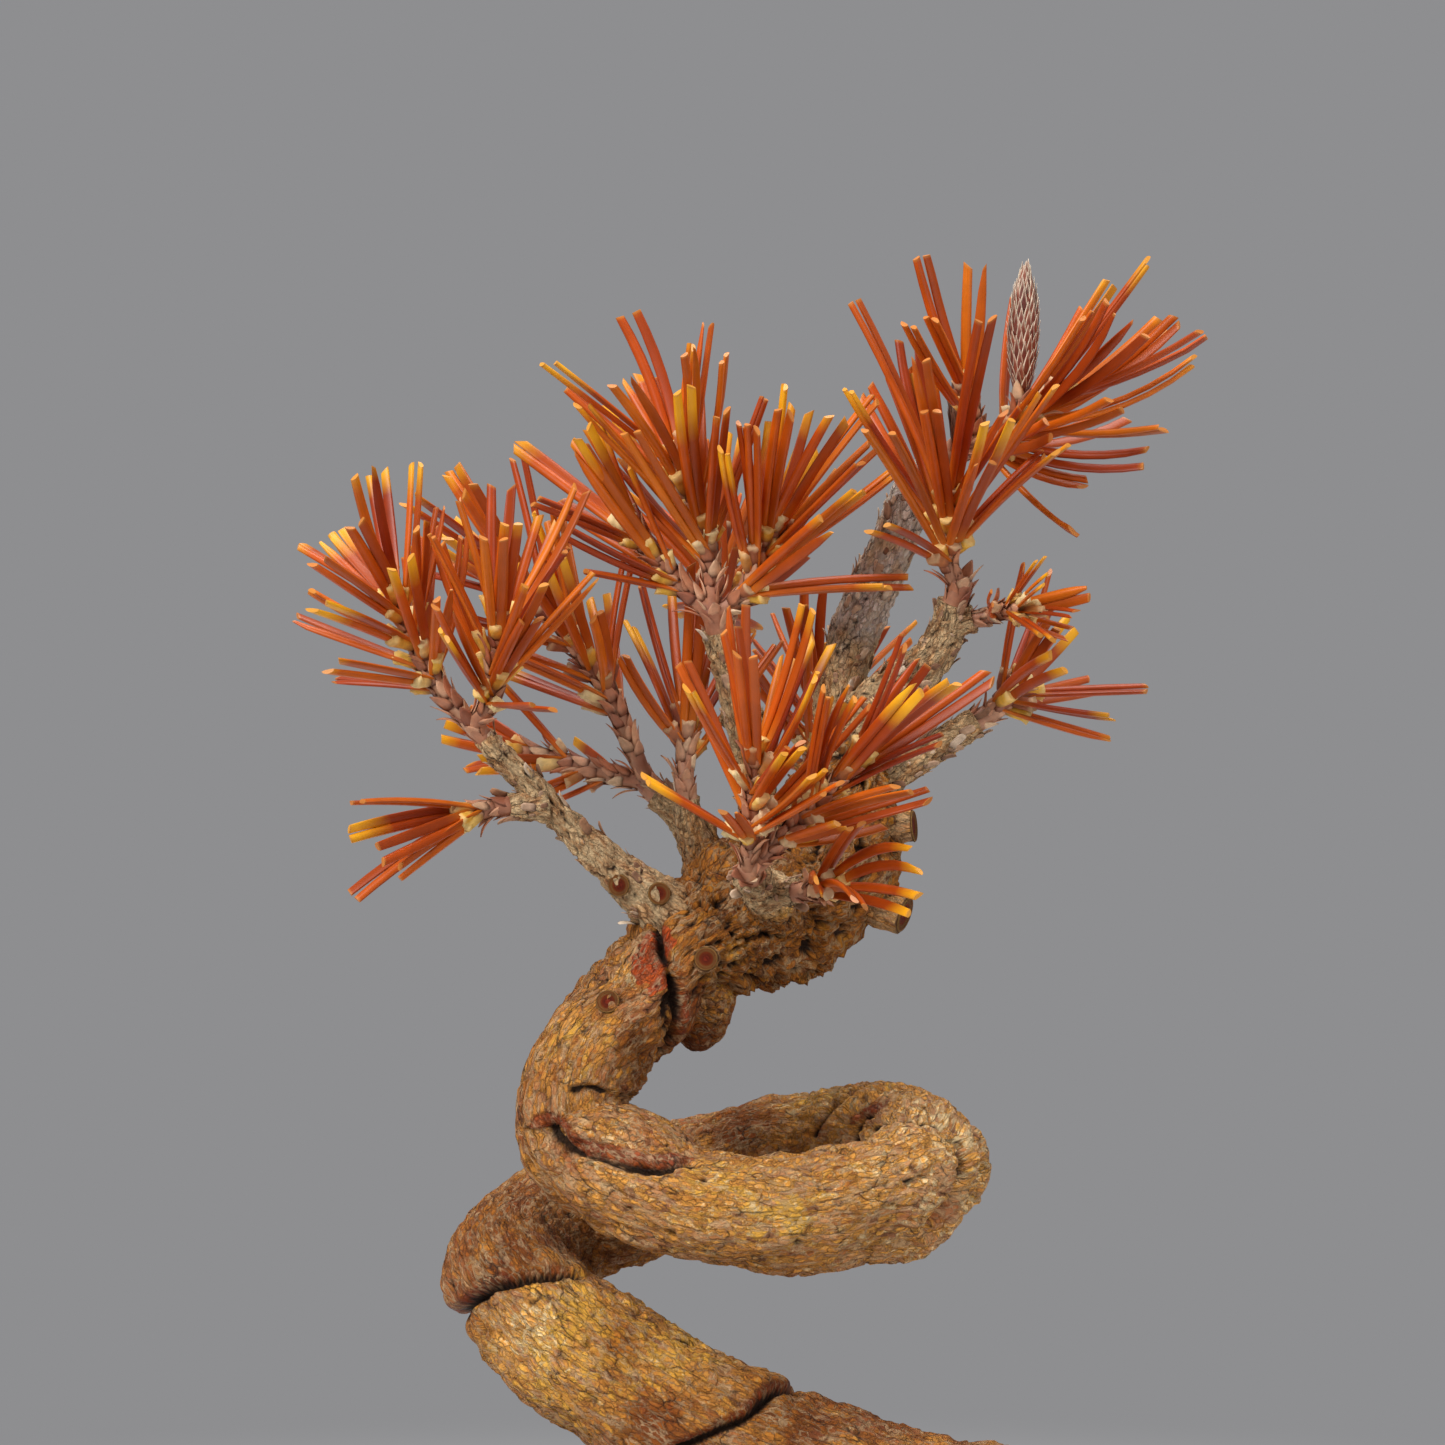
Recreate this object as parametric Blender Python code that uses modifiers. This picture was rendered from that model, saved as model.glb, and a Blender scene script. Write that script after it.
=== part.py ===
"""Japanese black pine bonsai in a round unglazed pot.

The trunk is coiled into one and a half turns, with scars where training wire once bit into it. It carries
nine short branches that end in shoots, and every shoot holds pairs of clipped needles. Pot, drainage
screen, soil, wood, each spray of needles and the bud at the top are separate solids.

Lengths in the tables are millimetres. +Z is up, the front of the tree faces -Y, and the origin lies under
the middle of the tree, on the surface that the pot's feet stand on.
"""

import math
import random

import bmesh
import bpy
import numpy as np
from mathutils import Matrix, Vector

MM = 0.001
GAP = 0.3  # between two solids that touch on the real tree
CHIP_VOLUME = 0.05
CUT_PAST = 2.0  # how far a cutter reaches past the wall that it cuts
FLAT_ANGLE = math.radians(0.4)  # faces that meet flatter than this become one
SOFT_ANGLE = math.radians(50.0)  # edges sharper than this stay sharp in the shading
ONE_PIECE = math.inf  # a tube's step that adds no point between its rows

# The pot: unglazed clay, thrown round, on three feet
POT_HEIGHT = 40.0
POT_RIM_RADIUS = 47.0
POT_RIM_DEPTH = 5.0
POT_RIM_OVERHANG = 2.0
POT_RIM_BEVEL = 0.5
POT_WALL = 4.0
POT_WALL_LEVELS = 4
POT_WALL_SWELL = 0.62  # the share of a half sine that the wall's outward swell follows
POT_FLOOR_RADIUS = 34.0
POT_FLOOR_THICKNESS = 5.0
POT_HEEL = 1.5
POT_SIDES = 32
FOOT_HEIGHT = 4.0
FOOT_WIDTH = 7.0
FOOT_COUNT = 3
FOOT_GAP_DEG = 76.0
FOOT_INSET = 2.5
FOOT_SINK = 1.0
DRAIN_RADIUS = 7.0
POT_FLOOR = FOOT_HEIGHT + POT_FLOOR_THICKNESS
POT_RIM_FOOT = POT_HEIGHT - POT_RIM_DEPTH

# The soil fills the pot to just under its rim
SOIL_TOP = 36.5
SOIL_DOME = 2.0
SOIL_LEVELS = 4
SOIL_RINGS = 8
SOIL_SIDES = 24
SOIL_ROUGHNESS = 0.55
SOIL_SEED = 5
SOCKET_STATION = 2.2
SCREEN_SIDE = 18.0
SCREEN_THICKNESS = 0.8
SCREEN_BARS = 5
SCREEN_HOLE_SHARE = 0.62

# The trunk from under the soil to the top of the crown's knot: x, y, z and radius
TRUNK = [
    (1.0, 8.0, 25.0, 12.5),
    (2.0, 8.5, 37.0, 11.2),
    (6.0, 11.0, 46.0, 10.4),
    (14.0, 11.0, 51.0, 9.9),
    (23.0, 7.5, 53.0, 9.6),
    (28.5, -3.0, 55.0, 9.5),
    (21.0, -13.0, 59.0, 9.5),
    (10.5, -18.0, 63.5, 9.4),
    (0.5, -20.0, 67.5, 9.3),
    (-9.5, -19.0, 72.0, 9.1),
    (-18.5, -16.0, 77.0, 8.8),
    (-26.0, -10.0, 82.0, 8.5),
    (-30.5, -1.0, 86.5, 8.2),
    (-27.0, 8.0, 89.5, 8.0),
    (-19.5, 14.0, 91.5, 7.8),
    (-9.5, 19.0, 94.5, 7.6),
    (1.0, 21.0, 98.0, 7.5),
    (11.0, 19.0, 99.5, 7.5),
    (19.0, 12.0, 100.0, 7.5),
    (22.0, 1.0, 100.0, 7.5),
    (18.5, -9.0, 99.0, 7.5),
    (12.0, -16.0, 97.5, 7.5),
    (3.0, -19.0, 97.0, 7.5),
    (-7.0, -19.0, 98.0, 7.4),
    (-15.0, -16.0, 100.5, 7.2),
    (-20.5, -12.0, 104.0, 7.0),
    (-22.0, -10.0, 110.5, 7.0),
    (-19.5, -9.0, 116.5, 7.0),
    (-14.5, -7.0, 121.5, 6.8),
    (-9.5, -4.0, 126.5, 7.1),
    (-4.0, -1.0, 130.0, 8.0),
    (2.0, 1.0, 133.0, 9.3),
    (7.5, 3.0, 136.5, 9.0),
    (10.0, 5.0, 141.5, 7.7),
    (11.5, 6.5, 147.0, 6.2),
    (12.5, 8.0, 153.0, 4.6),
]
TRUNK_SIDES = 12
TRUNK_RING_STEP = 3.0
LUMPS = [(2, 0.9, 1.0), (3, -1.7, 0.7)]  # how many round the trunk, their turn for a station, their share
LUMP_SHARE = 0.05
KNOT_STATION = 31.5
KNOT_LUMPS = 0.1
BEND_SHARE = 0.8  # the inside of a bend never reaches further than this share of the way to its centre

# Wire scars: station on the trunk, direction that the scar's middle faces, how far round it runs to each
# side in degrees, and its depth. All of them climb the trunk the way that one wire was wound
WIRE_SCARS = [
    (5.2, (0.9, 0.2, 0.5), 70.0, 1.0),
    (8.4, (0.0, -0.75, 0.65), 85.0, 1.4),
    (11.4, (-0.5, -0.85, 0.1), 95.0, 1.8),
    (14.4, (0.1, 1.0, 0.3), 75.0, 1.1),
    (17.5, (-0.2, -0.3, 1.0), 70.0, 1.2),
    (19.4, (1.0, -0.2, 0.1), 85.0, 1.4),
    (28.4, (0.2, -0.95, -0.1), 80.0, 1.6),
]
WIRE_CLIMB = -4.8  # millimetres along the trunk for a radian round it
SCAR_RADIUS = 1.2
SCAR_LIP = 0.45
SCAR_LIP_WIDTH = 2.6
SCAR_RISE = 0.3  # how far both ends of the cutting line rise past the surface
SCAR_POINTS = 8
SCAR_SIDES = 6

# Folds of wood squeezed out on the inside of two sharp bends: centre, half sizes, turn about the view
FOLDS = [
    ((-16.0, -14.5, 106.3), (9.5, 5.0, 3.3), 16.0),
    ((-6.5, -2.5, 120.5), (3.8, 5.0, 6.0), 12.0),
    ((7.0, 6.0, 128.5), (6.5, 5.0, 4.0), -20.0),
]
FOLD_SEGMENTS = 10
FOLD_RINGS = 7

# Stubs of branches that were cut off: foot, outward direction, radius and length beyond the foot
STUBS = [
    ((-6.0, -3.0, 127.0), (0.0, -1.0, 0.1), 1.7, 8.2),
    ((-17.0, -9.0, 120.0), (-0.2, -1.0, 0.5), 1.4, 6.4),
    ((-16.0, -7.0, 136.5), (-0.3, -1.0, 0.1), 1.5, 2.6),
    ((-12.5, -6.0, 135.0), (0.2, -1.0, 0.2), 1.6, 3.0),
    ((12.0, 2.0, 134.0), (1.0, -0.4, -0.3), 2.2, 7.5),
    ((14.0, 4.0, 142.0), (1.0, -0.2, 0.1), 1.9, 6.0),
]
STUB_FLARE = 1.15
STUB_SIDES = 6

# Branches: x, y, z and radius along each one, from inside the trunk to its cut-flat end
BRANCHES = {
    "left": [(-8, -4, 131, 3.6), (-13, -6, 134.5, 3.4), (-17, -7, 138, 2.5), (-20, -8, 141, 2.1),
             (-24, -9, 145, 1.9), (-27.5, -10, 149, 1.8), (-31, -11, 152.5, 1.7), (-33.5, -12, 155.5, 1.6)],
    "middle": [(-3, 2, 131, 3.2), (-6, 5, 138, 2.7), (-8.5, 7, 143, 2.4), (-12, 8.5, 146, 2.0)],
    "inner": [(-6, 5, 137.5, 2.4), (-8, 5, 142.5, 1.9), (-8.5, 4.5, 146, 1.7)],
    "centre": [(2, 4, 133, 3.2), (0.5, 6, 146, 2.4), (-2, 4, 158, 2.3), (-3.5, 3, 164, 2.1),
               (-4.5, 2, 167.5, 2.0)],
    "centre_back": [(-1.5, 5, 156, 2.2), (-2.5, 9, 161, 1.8), (-3.5, 14, 165, 1.7)],
    "apex": [(13, 7, 150, 4.4), (11, 11, 157.5, 3.6), (12, 12, 164, 3.3), (14.5, 11, 171, 3.1),
             (17.5, 10, 177.5, 2.9), (20, 9, 184, 2.7), (24, 8, 188, 2.4)],
    "upper": [(12, 8, 154, 3.0), (17, 5, 159.5, 2.4), (21.5, 2, 163, 2.2), (24, 1, 167.5, 2.1),
              (25, 0.2, 171, 2.0)],
    "right": [(12.5, 7.5, 146, 3.0), (18, 8, 149, 2.0), (23, 9, 152, 1.9), (28, 10, 155, 1.8)],
    "front": [(3, -3, 133, 3.2), (1.5, -12, 136, 2.6), (0, -20, 138.5, 2.2), (-0.5, -25, 140, 2.0)],
    "back": [(7, 6, 137, 3.2), (7.5, 16, 139.5, 2.3), (7.5, 23, 142, 1.9)],
    "low": [(-26, -9.5, 147, 1.9), (-28.5, -10.2, 146.8, 1.7), (-30.5, -10.8, 146.7, 1.5)],
    "side": [(23.8, 0.9, 168, 1.6), (27.4, 0.1, 169, 1.4)],
    "fore": [(0.8, -15.5, 137, 2.3), (3.5, -18, 136.9, 1.8), (5, -19.3, 137.1, 1.6)],
}
BRANCH_STEP = 4.0
BRANCH_SIDES = 8

# Surface roots: compass direction in degrees, reach from the trunk's foot and radius at the start
ROOTS = [
    (-95, 20.0, 3.6),
    (-40, 17.0, 3.0),
    (10, 18.0, 3.4),
    (75, 15.0, 2.8),
    (140, 19.0, 3.3),
    (200, 21.0, 3.7),
]
ROOT_TOP = 40.5
ROOT_SHAPE = [(0.1, 0.0, 1.0), (0.55, 0.8, 0.9), (0.8, 4.0, 0.7), (1.0, 11.5, 0.45)]  # way out, drop, girth
ROOT_SWEEP = 0.18  # how far a root bows sideways, as a share of its reach
ROOT_STEP = 6.0
ROOT_SIDES = 6

# Sprays: each is one node on the end of a branch, with the seed that its needles are drawn with. A shoot is
# the points it runs through after the fork, its pairs of needles, their length, and how far they lean out
# from it at its foot and at its tip, in degrees
SPRAYS = {
    "spray_left": ("left", 513, [([(-39.3, -12.5, 162.5), (-44.5, -13.1, 173.4)], 14, 17.1, 60, 29),
                                 ([(-32.6, -14.9, 160.2), (-31.5, -17.1, 169.4)], 12, 18.9, 52, 22)]),
    "spray_low": ("low", 692, [([(-34.3, -12.5, 146.1)], 5, 17.7, 24, 18)]),
    "spray_middle": ("middle", 427, [([(-18.3, 8.4, 158.6), (-23.4, 7.7, 166.2), (-30.2, 7.1, 174.3)], 15, 19.1, 60, 19),
                                     ([(-20.6, 10.6, 149), (-28.4, 13.2, 150.8)], 5, 12.7, 54, 21)]),
    "spray_inner": ("inner", 841, [([(-8.4, 7.9, 155.7)], 7, 22.3, 43, 15)]),
    "spray_centre": ("centre", 229, [([(-5.7, 1.6, 177.1), (-9.8, -0.4, 188.8)], 15, 20.8, 36, 26),
                                     ([(-8.3, 2.1, 172.2), (-15.1, 1.8, 179.6)], 9, 18.2, 24, 29),
                                     ([(-1.2, 0.4, 172.3), (2, -1.1, 179.6)], 12, 21.5, 46, 20)]),
    "spray_centre_back": ("centre_back", 541, [([(-4.1, 21.2, 169.4), (-4.3, 27.5, 174.7)], 11, 18.7, 51, 26)]),
    "spray_apex": ("apex", 632, [([(29.5, 6.8, 190.3), (32.7, 6.3, 193), (33.3, 6.1, 196)], 6, 21.9, 50, 45),
                                 ([(30.4, 3.8, 191.5), (36.4, 1.8, 196.5)], 12, 22.4, 37, 14),
                                 ([(27.2, 5.3, 191.2), (27, 2.6, 195.9)], 6, 19.6, 31, 21)]),
    "spray_upper": ("upper", 624, [([(24.2, -0.9, 176.3), (24.3, -2.3, 183)], 13, 26.4, 50, 23)]),
    "spray_side": ("side", 998, [([(32.8, -4.9, 170.8)], 7, 10.2, 46, 14)]),
    "spray_right": ("right", 885, [([(30.5, 10.1, 157.1), (32.9, 10.1, 159)], 8, 16.8, 57, 36)]),
    "spray_front": ("front", 228, [([(-0.6, -30.3, 146), (-0.1, -33.6, 155)], 11, 19.2, 59, 15),
                                   ([(4, -30.6, 145.9), (11.5, -34.8, 154.3)], 11, 19.3, 41, 14)]),
    "spray_fore": ("fore", 270, [([(8.4, -25.3, 138.4)], 5, 20.2, 24, 14)]),
    "spray_back": ("back", 441, [([(8, 30.4, 147.7), (8.6, 35.8, 155.5)], 11, 17.8, 60, 30)]),
}
SHOOT_RADIUS = 1.6
SHOOT_TAPER = 0.8
SHOOT_SIDES = 6
SHOOT_STEP = 5.0
COLLAR = 3.0
COLLAR_TAPER = 0.8
FORK_AT = 0.6  # how far up the collar its shoots part, as a share of it

# Needles: three-sided, in pairs that part by a few degrees
NEEDLE_WIDTH = 1.35
NEEDLE_THICKNESS = 0.85
NEEDLE_TIP_SHARE = 0.8
PAIR_PART_DEG = 7.0
PAIR_APART = 0.45  # half the distance between the middles of twins at their foot
NEEDLE_ROOT = 0.2  # how far from the shoot's middle a needle starts
GOLDEN_DEG = 137.5
TURN_SPREAD_DEG = 14.0
LEAN_SPREAD_DEG = 6.0
LEAST_LEAN_DEG = 5.0
LENGTH_SPREAD = (0.85, 1.1)
FIRST_PAIR_AT = 0.3
LAST_PAIR_AT = 0.985

# Where a pair finds no room it is drawn again, each time a little freer in turn, lean and length
NEEDLE_TRIES = 80
FREER_TURN = 8.0
FREER_LEAN = 2.0
FREER_LENGTH = 0.3
NEEDLE_CLEARANCE = 0.4
OWN_CLEARANCE = 0.0
OWN_ROOT_SHARE = 0.2  # the share of a needle that may cross needles of its own spray
ROOM_POINTS = 14
CROWD_STEP = 3.0

# A small brown bud beside the big one: foot, tip and radius, grown on its spray
SMALL_BUD_SHAPE = [(0.0, 0.7), (0.35, 0.75), (0.6, 1.0), (0.85, 0.6), (1.0, 0.2)]
SMALL_BUD = ("spray_apex", (25.3, 6.6, 190.5), (25.4, 6.6, 199.0), 1.15)

# The bud that stands at the top
BUD_FOOT = (33.4, 6.05, 196.8)
BUD_TIP = (33.9, 5.6, 212.8)
BUD_RADIUS = 2.3
BUD_PROFILE = [(0.0, 0.46), (0.12, 0.72), (0.25, 0.87), (0.5, 1.0), (0.75, 0.8), (0.9, 0.45), (1.0, 0.12)]
BUD_SIDES = 12
BUD_RINGS = 16
BUD_SCALE_DEPTH = 0.3
BUD_SCALE_DIP = 0.12
BUD_SCALES_ROUND = 3
BUD_ROOM = [(0.0, 0.12, 0.7), (0.12, 0.8, 1.1), (0.8, 1.0, 0.7)]  # stretches of it and their thickness


def mm(x, y, z):
    """A point given in millimetres, in metres."""
    return Vector((x, y, z)) * MM


def clear_scene():
    """Leaves an empty scene."""
    for found in list(bpy.data.objects):
        bpy.data.objects.remove(found)


def collection(name):
    """A new collection in the scene."""
    made = bpy.data.collections.new(name)
    bpy.context.scene.collection.children.link(made)
    return made


def material(name, color, roughness):
    """A plain Principled material. Nothing on the tree or its pot is metal."""
    made = bpy.data.materials.new(name)
    made.use_nodes = True
    shader = made.node_tree.nodes["Principled BSDF"]
    shader.inputs["Base Color"].default_value = (*color, 1.0)
    shader.inputs["Roughness"].default_value = roughness
    shader.inputs["Metallic"].default_value = 0.0
    made.diffuse_color = (*color, 1.0)
    return made


def shade_round(obj):
    """Shades an object smooth, apart from its sharp edges."""
    obj.data.shade_smooth()
    obj.data.set_sharp_from_angle(angle=SOFT_ANGLE)
    return obj


def add_mesh(name, mesh_maker, home, look=None):
    """Makes an object from a bmesh that mesh_maker fills."""
    bm = bmesh.new()
    mesh_maker(bm)
    bmesh.ops.recalc_face_normals(bm, faces=bm.faces)
    bmesh.ops.triangulate(bm, faces=bm.faces)
    mesh = bpy.data.meshes.new(name)
    bm.to_mesh(mesh)
    bm.free()
    made = bpy.data.objects.new(name, mesh)
    home.objects.link(made)
    if look:
        mesh.materials.append(look)
    return made


def smooth_path(points, step):
    """Catmull-Rom points through (x, y, z, radius) rows: (station, position, radius), about step apart."""
    rows = [np.array(p, float) for p in points]
    rows = [2 * rows[0] - rows[1], *rows, 2 * rows[-1] - rows[-2]]
    found = []
    for i in range(1, len(rows) - 2):
        a, b, c, d = rows[i - 1:i + 3]
        pieces = max(1, round(float(np.linalg.norm((c - b)[:3])) / step))
        for k in range(pieces):
            t = k / pieces
            row = 0.5 * (2 * b + (c - a) * t + (2 * a - 5 * b + 4 * c - d) * t**2
                         + (3 * b - a - 3 * c + d) * t**3)
            found.append((i - 1 + t, row[:3], row[3]))
    found.append((len(points) - 1, rows[-2][:3], rows[-2][3]))
    return found


def path_frames(centres):
    """Along, side and up directions at each centre, turned as little as possible from one to the next."""
    along = np.gradient(centres, axis=0)
    along /= np.linalg.norm(along, axis=1)[:, None]
    side = np.cross(along[0], (0.0, 1.0, 0.0))
    side /= np.linalg.norm(side)
    sides = [side]
    for direction in along[1:]:
        side = sides[-1] - direction * (sides[-1] @ direction)
        sides.append(side / np.linalg.norm(side))
    sides = np.array(sides)
    return along, sides, np.cross(along, sides)


def bend_centres(centres):
    """At each centre, the vector to the middle of the bend there divided by its length squared."""
    first = np.gradient(centres, axis=0)
    second = np.gradient(first, axis=0)
    speed = (first**2).sum(1)[:, None]
    return (second - first * (second * first).sum(1)[:, None] / speed) / speed


class TrunkSkin:
    """The trunk's surface: a reach from its bent middle line for every ring and angle."""

    def __init__(self):
        path = smooth_path(TRUNK, TRUNK_RING_STEP)
        self.stations = [s for s, _, _ in path]
        self.centres = np.array([p for _, p, _ in path])
        self.along, self.sides, self.ups = path_frames(self.centres)
        steps = np.linalg.norm(np.diff(self.centres, axis=0), axis=1)
        self.run = np.concatenate([[0], np.cumsum(steps)])
        self.angles = np.linspace(0, 2 * math.pi, TRUNK_SIDES, endpoint=False)
        bends = bend_centres(self.centres)
        self.scars = [self.place(*scar) for scar in WIRE_SCARS]
        self.reach = np.empty((len(path), TRUNK_SIDES))
        for i, (station, _, radius) in enumerate(path):
            for k, angle in enumerate(self.angles):
                lump = sum(share * math.sin(count * angle + turn * station) for count, turn, share in LUMPS)
                lump *= LUMP_SHARE + KNOT_LUMPS * math.exp(-((station - KNOT_STATION) ** 2))
                reach = radius * (1 + lump) + self.lips(self.run[i], angle)
                inward = float(self.outward(i, angle) @ bends[i])
                self.reach[i, k] = min(reach, BEND_SHARE / inward) if inward > 0 else reach

    def outward(self, i, angle):
        return self.sides[i] * math.cos(angle) + self.ups[i] * math.sin(angle)

    def place(self, station, facing, span, depth):
        """A wire scar by its run along the trunk and the angle of its middle."""
        run = float(np.interp(station, self.stations, self.run))
        i = int(np.argmin(abs(self.run - run)))
        facing = np.array(facing)
        angle = math.atan2(facing @ self.ups[i], facing @ self.sides[i])
        return run, angle, math.radians(span), depth

    def lips(self, run, angle):
        """How far the wood swells on both sides of the wire scars."""
        height = 0.0
        for middle, facing, span, depth in self.scars:
            off = (angle - facing + math.pi) % (2 * math.pi) - math.pi
            fade = max(0.0, 1.0 - (off / span) ** 2)
            away = (run - middle - WIRE_CLIMB * off) / SCAR_LIP_WIDTH
            height += SCAR_LIP * depth * fade * math.exp(-((abs(away) - 1.0) ** 2))
        return height

    def point(self, run, angle, lift):
        """A point on the surface, or lifted off it."""
        share = [np.interp(run, self.run, column) for column in
                 (*self.centres.T, *self.sides.T, *self.ups.T, *self.reach.T)]
        centre, side, up = np.array(share[0:3]), unit(np.array(share[3:6])), unit(np.array(share[6:9]))
        reach = np.interp(angle % (2 * math.pi), [*self.angles, 2 * math.pi], [*share[9:], share[9]])
        return centre + (side * math.cos(angle) + up * math.sin(angle)) * (reach + lift)

    def rings(self, room=0.0, last=math.inf):
        """The rings of points up to a station, with some room added round them."""
        found = []
        for i, station in enumerate(self.stations):
            if station <= last:
                shift = self.along[i] * room if i == 0 else 0.0
                found.append([self.centres[i] - shift + self.outward(i, angle) * (self.reach[i, k] + room)
                              for k, angle in enumerate(self.angles)])
        return found

    def groove(self, scar):
        """The line that a wire scar is cut along, sunk in its middle and rising out at both ends."""
        middle, facing, span, depth = scar
        rows = []
        for share in np.linspace(-1.0, 1.0, SCAR_POINTS):
            off = share * span
            lift = SCAR_RADIUS - depth + (depth + SCAR_RISE) * share**4
            rows.append((*self.point(middle + WIRE_CLIMB * off, facing + off, lift), SCAR_RADIUS))
        return rows


def loft(bm, rings):
    """Skins rings of points, in millimetres, and closes both ends."""
    loops = [[bm.verts.new(Vector(p) * MM) for p in ring] for ring in rings]
    count = len(loops[0])
    for low, high in zip(loops, loops[1:]):
        for k in range(count):
            bm.faces.new((low[k], low[(k + 1) % count], high[(k + 1) % count], high[k]))
    bm.faces.new(loops[0][::-1])
    bm.faces.new(loops[-1])


def tube(name, rows, home, sides, step, fatter=0.0, look=None):
    """A tube through (x, y, z, radius) rows, as a mesh with welded caps."""
    curve = bpy.data.curves.new(name, "CURVE")
    curve.dimensions = "3D"
    curve.bevel_depth = MM
    curve.bevel_resolution = sides // 2 - 2
    curve.use_fill_caps = True
    path = smooth_path(rows, step)
    spline = curve.splines.new("POLY")
    spline.points.add(len(path) - 1)
    for point, (_, centre, radius) in zip(spline.points, path):
        point.co = (*(centre * MM), 1.0)
        point.radius = radius + fatter
    drawn = bpy.data.objects.new(name + "_line", curve)
    home.objects.link(drawn)
    graph = bpy.context.evaluated_depsgraph_get()
    mesh = bpy.data.meshes.new_from_object(drawn.evaluated_get(graph))
    bpy.data.objects.remove(drawn)
    bm = bmesh.new()
    bm.from_mesh(mesh)
    bmesh.ops.remove_doubles(bm, verts=bm.verts, dist=1e-6)
    bmesh.ops.recalc_face_normals(bm, faces=bm.faces)
    bm.to_mesh(mesh)
    bm.free()
    mesh.materials.clear()
    if look:
        mesh.materials.append(look)
    made = bpy.data.objects.new(name, mesh)
    home.objects.link(made)
    return made


def shell_of(face):
    """All faces joined to one face."""
    found, waiting = {face}, [face]
    while waiting:
        for edge in waiting.pop().edges:
            for near in edge.link_faces:
                if near not in found:
                    found.add(near)
                    waiting.append(near)
    return found


def drop_scraps(bm):
    """Removes the skin of small pockets that crossing needles close off, and chips too small to see."""
    left = set(bm.faces)
    while left:
        shell = shell_of(next(iter(left)))
        left -= shell
        volume = sum(f.verts[0].co.dot(f.verts[1].co.cross(f.verts[2].co)) for f in shell)
        if volume / 6 < CHIP_VOLUME * MM**3:
            bmesh.ops.delete(bm, geom=list(shell), context="FACES")


def bake(obj):
    """Applies the object's modifiers to its mesh, in triangles, as the next Boolean needs flat faces."""
    graph = bpy.context.evaluated_depsgraph_get()
    mesh = bpy.data.meshes.new_from_object(obj.evaluated_get(graph))
    bm = bmesh.new()
    bm.from_mesh(mesh)
    bmesh.ops.triangulate(bm, faces=bm.faces)
    drop_scraps(bm)
    bmesh.ops.dissolve_limit(bm, angle_limit=FLAT_ANGLE, verts=bm.verts, edges=bm.edges)
    bmesh.ops.triangulate(bm, faces=bm.faces)
    bm.to_mesh(mesh)
    bm.free()
    obj.modifiers.clear()
    obj.data = mesh
    return obj


def fuse(obj, others, solver="EXACT", self_crossing=False):
    """Joins every object of a collection to obj, and removes the collection."""
    union = obj.modifiers.new("grown_together", "BOOLEAN")
    union.operation = "UNION"
    union.operand_type = "COLLECTION"
    union.collection = others
    union.solver = solver
    union.use_self = self_crossing
    bake(obj)
    for joined in list(others.objects):
        bpy.data.objects.remove(joined)
    bpy.data.collections.remove(others)
    return obj


def turned(name, profile, home, sides, look):
    """A profile of (radius, height) points in millimetres, turned about Z."""
    mesh = bpy.data.meshes.new(name)
    edges = [(i, i + 1) for i in range(len(profile) - 1)]
    mesh.from_pydata([mm(r, 0, z) for r, z in profile], edges, [])
    mesh.materials.append(look)
    made = bpy.data.objects.new(name, mesh)
    home.objects.link(made)
    screw = made.modifiers.new("turn", "SCREW")
    screw.steps = sides
    screw.render_steps = sides
    screw.use_merge_vertices = True
    screw.merge_threshold = 0.00005
    return made


def cylinder(name, radius, low, high, home):
    """An upright cylinder on the middle axis, from low to high."""
    def fill(bm):
        place = Matrix.Translation(mm(0, 0, (low + high) / 2))
        bmesh.ops.create_cone(bm, cap_ends=True, segments=POT_SIDES, radius1=radius * MM,
                              radius2=radius * MM, depth=(high - low) * MM, matrix=place)
    return add_mesh(name, fill, home)


def plate(bm, side, low, high, x=0.0, y=0.0):
    """A square block from low to high, added to a bmesh."""
    place = Matrix.Translation(mm(x, y, (low + high) / 2))
    size = Matrix.Diagonal((*mm(side, side, high - low), 1.0))
    bmesh.ops.create_cube(bm, size=1.0, matrix=place @ size)


def helper(obj):
    """Marks a cutter, which isn't part of the tree."""
    obj.hide_render = True
    obj.display_type = "WIRE"
    return obj


def cut(obj, cutter):
    """Cuts one object out of another."""
    difference = obj.modifiers.new("cut", "BOOLEAN")
    difference.operation = "DIFFERENCE"
    difference.object = helper(cutter)


def pot_inner_radius(height):
    """The pot's inside radius at a height, from its floor to its rim, where the wall stands upright."""
    share = (min(height, POT_RIM_FOOT) - POT_FLOOR) / (POT_HEIGHT - POT_FLOOR)
    swell = math.sin(math.pi * share * POT_WALL_SWELL)
    return POT_FLOOR_RADIUS - POT_WALL + (POT_RIM_RADIUS - POT_RIM_OVERHANG - POT_FLOOR_RADIUS) * swell


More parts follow.
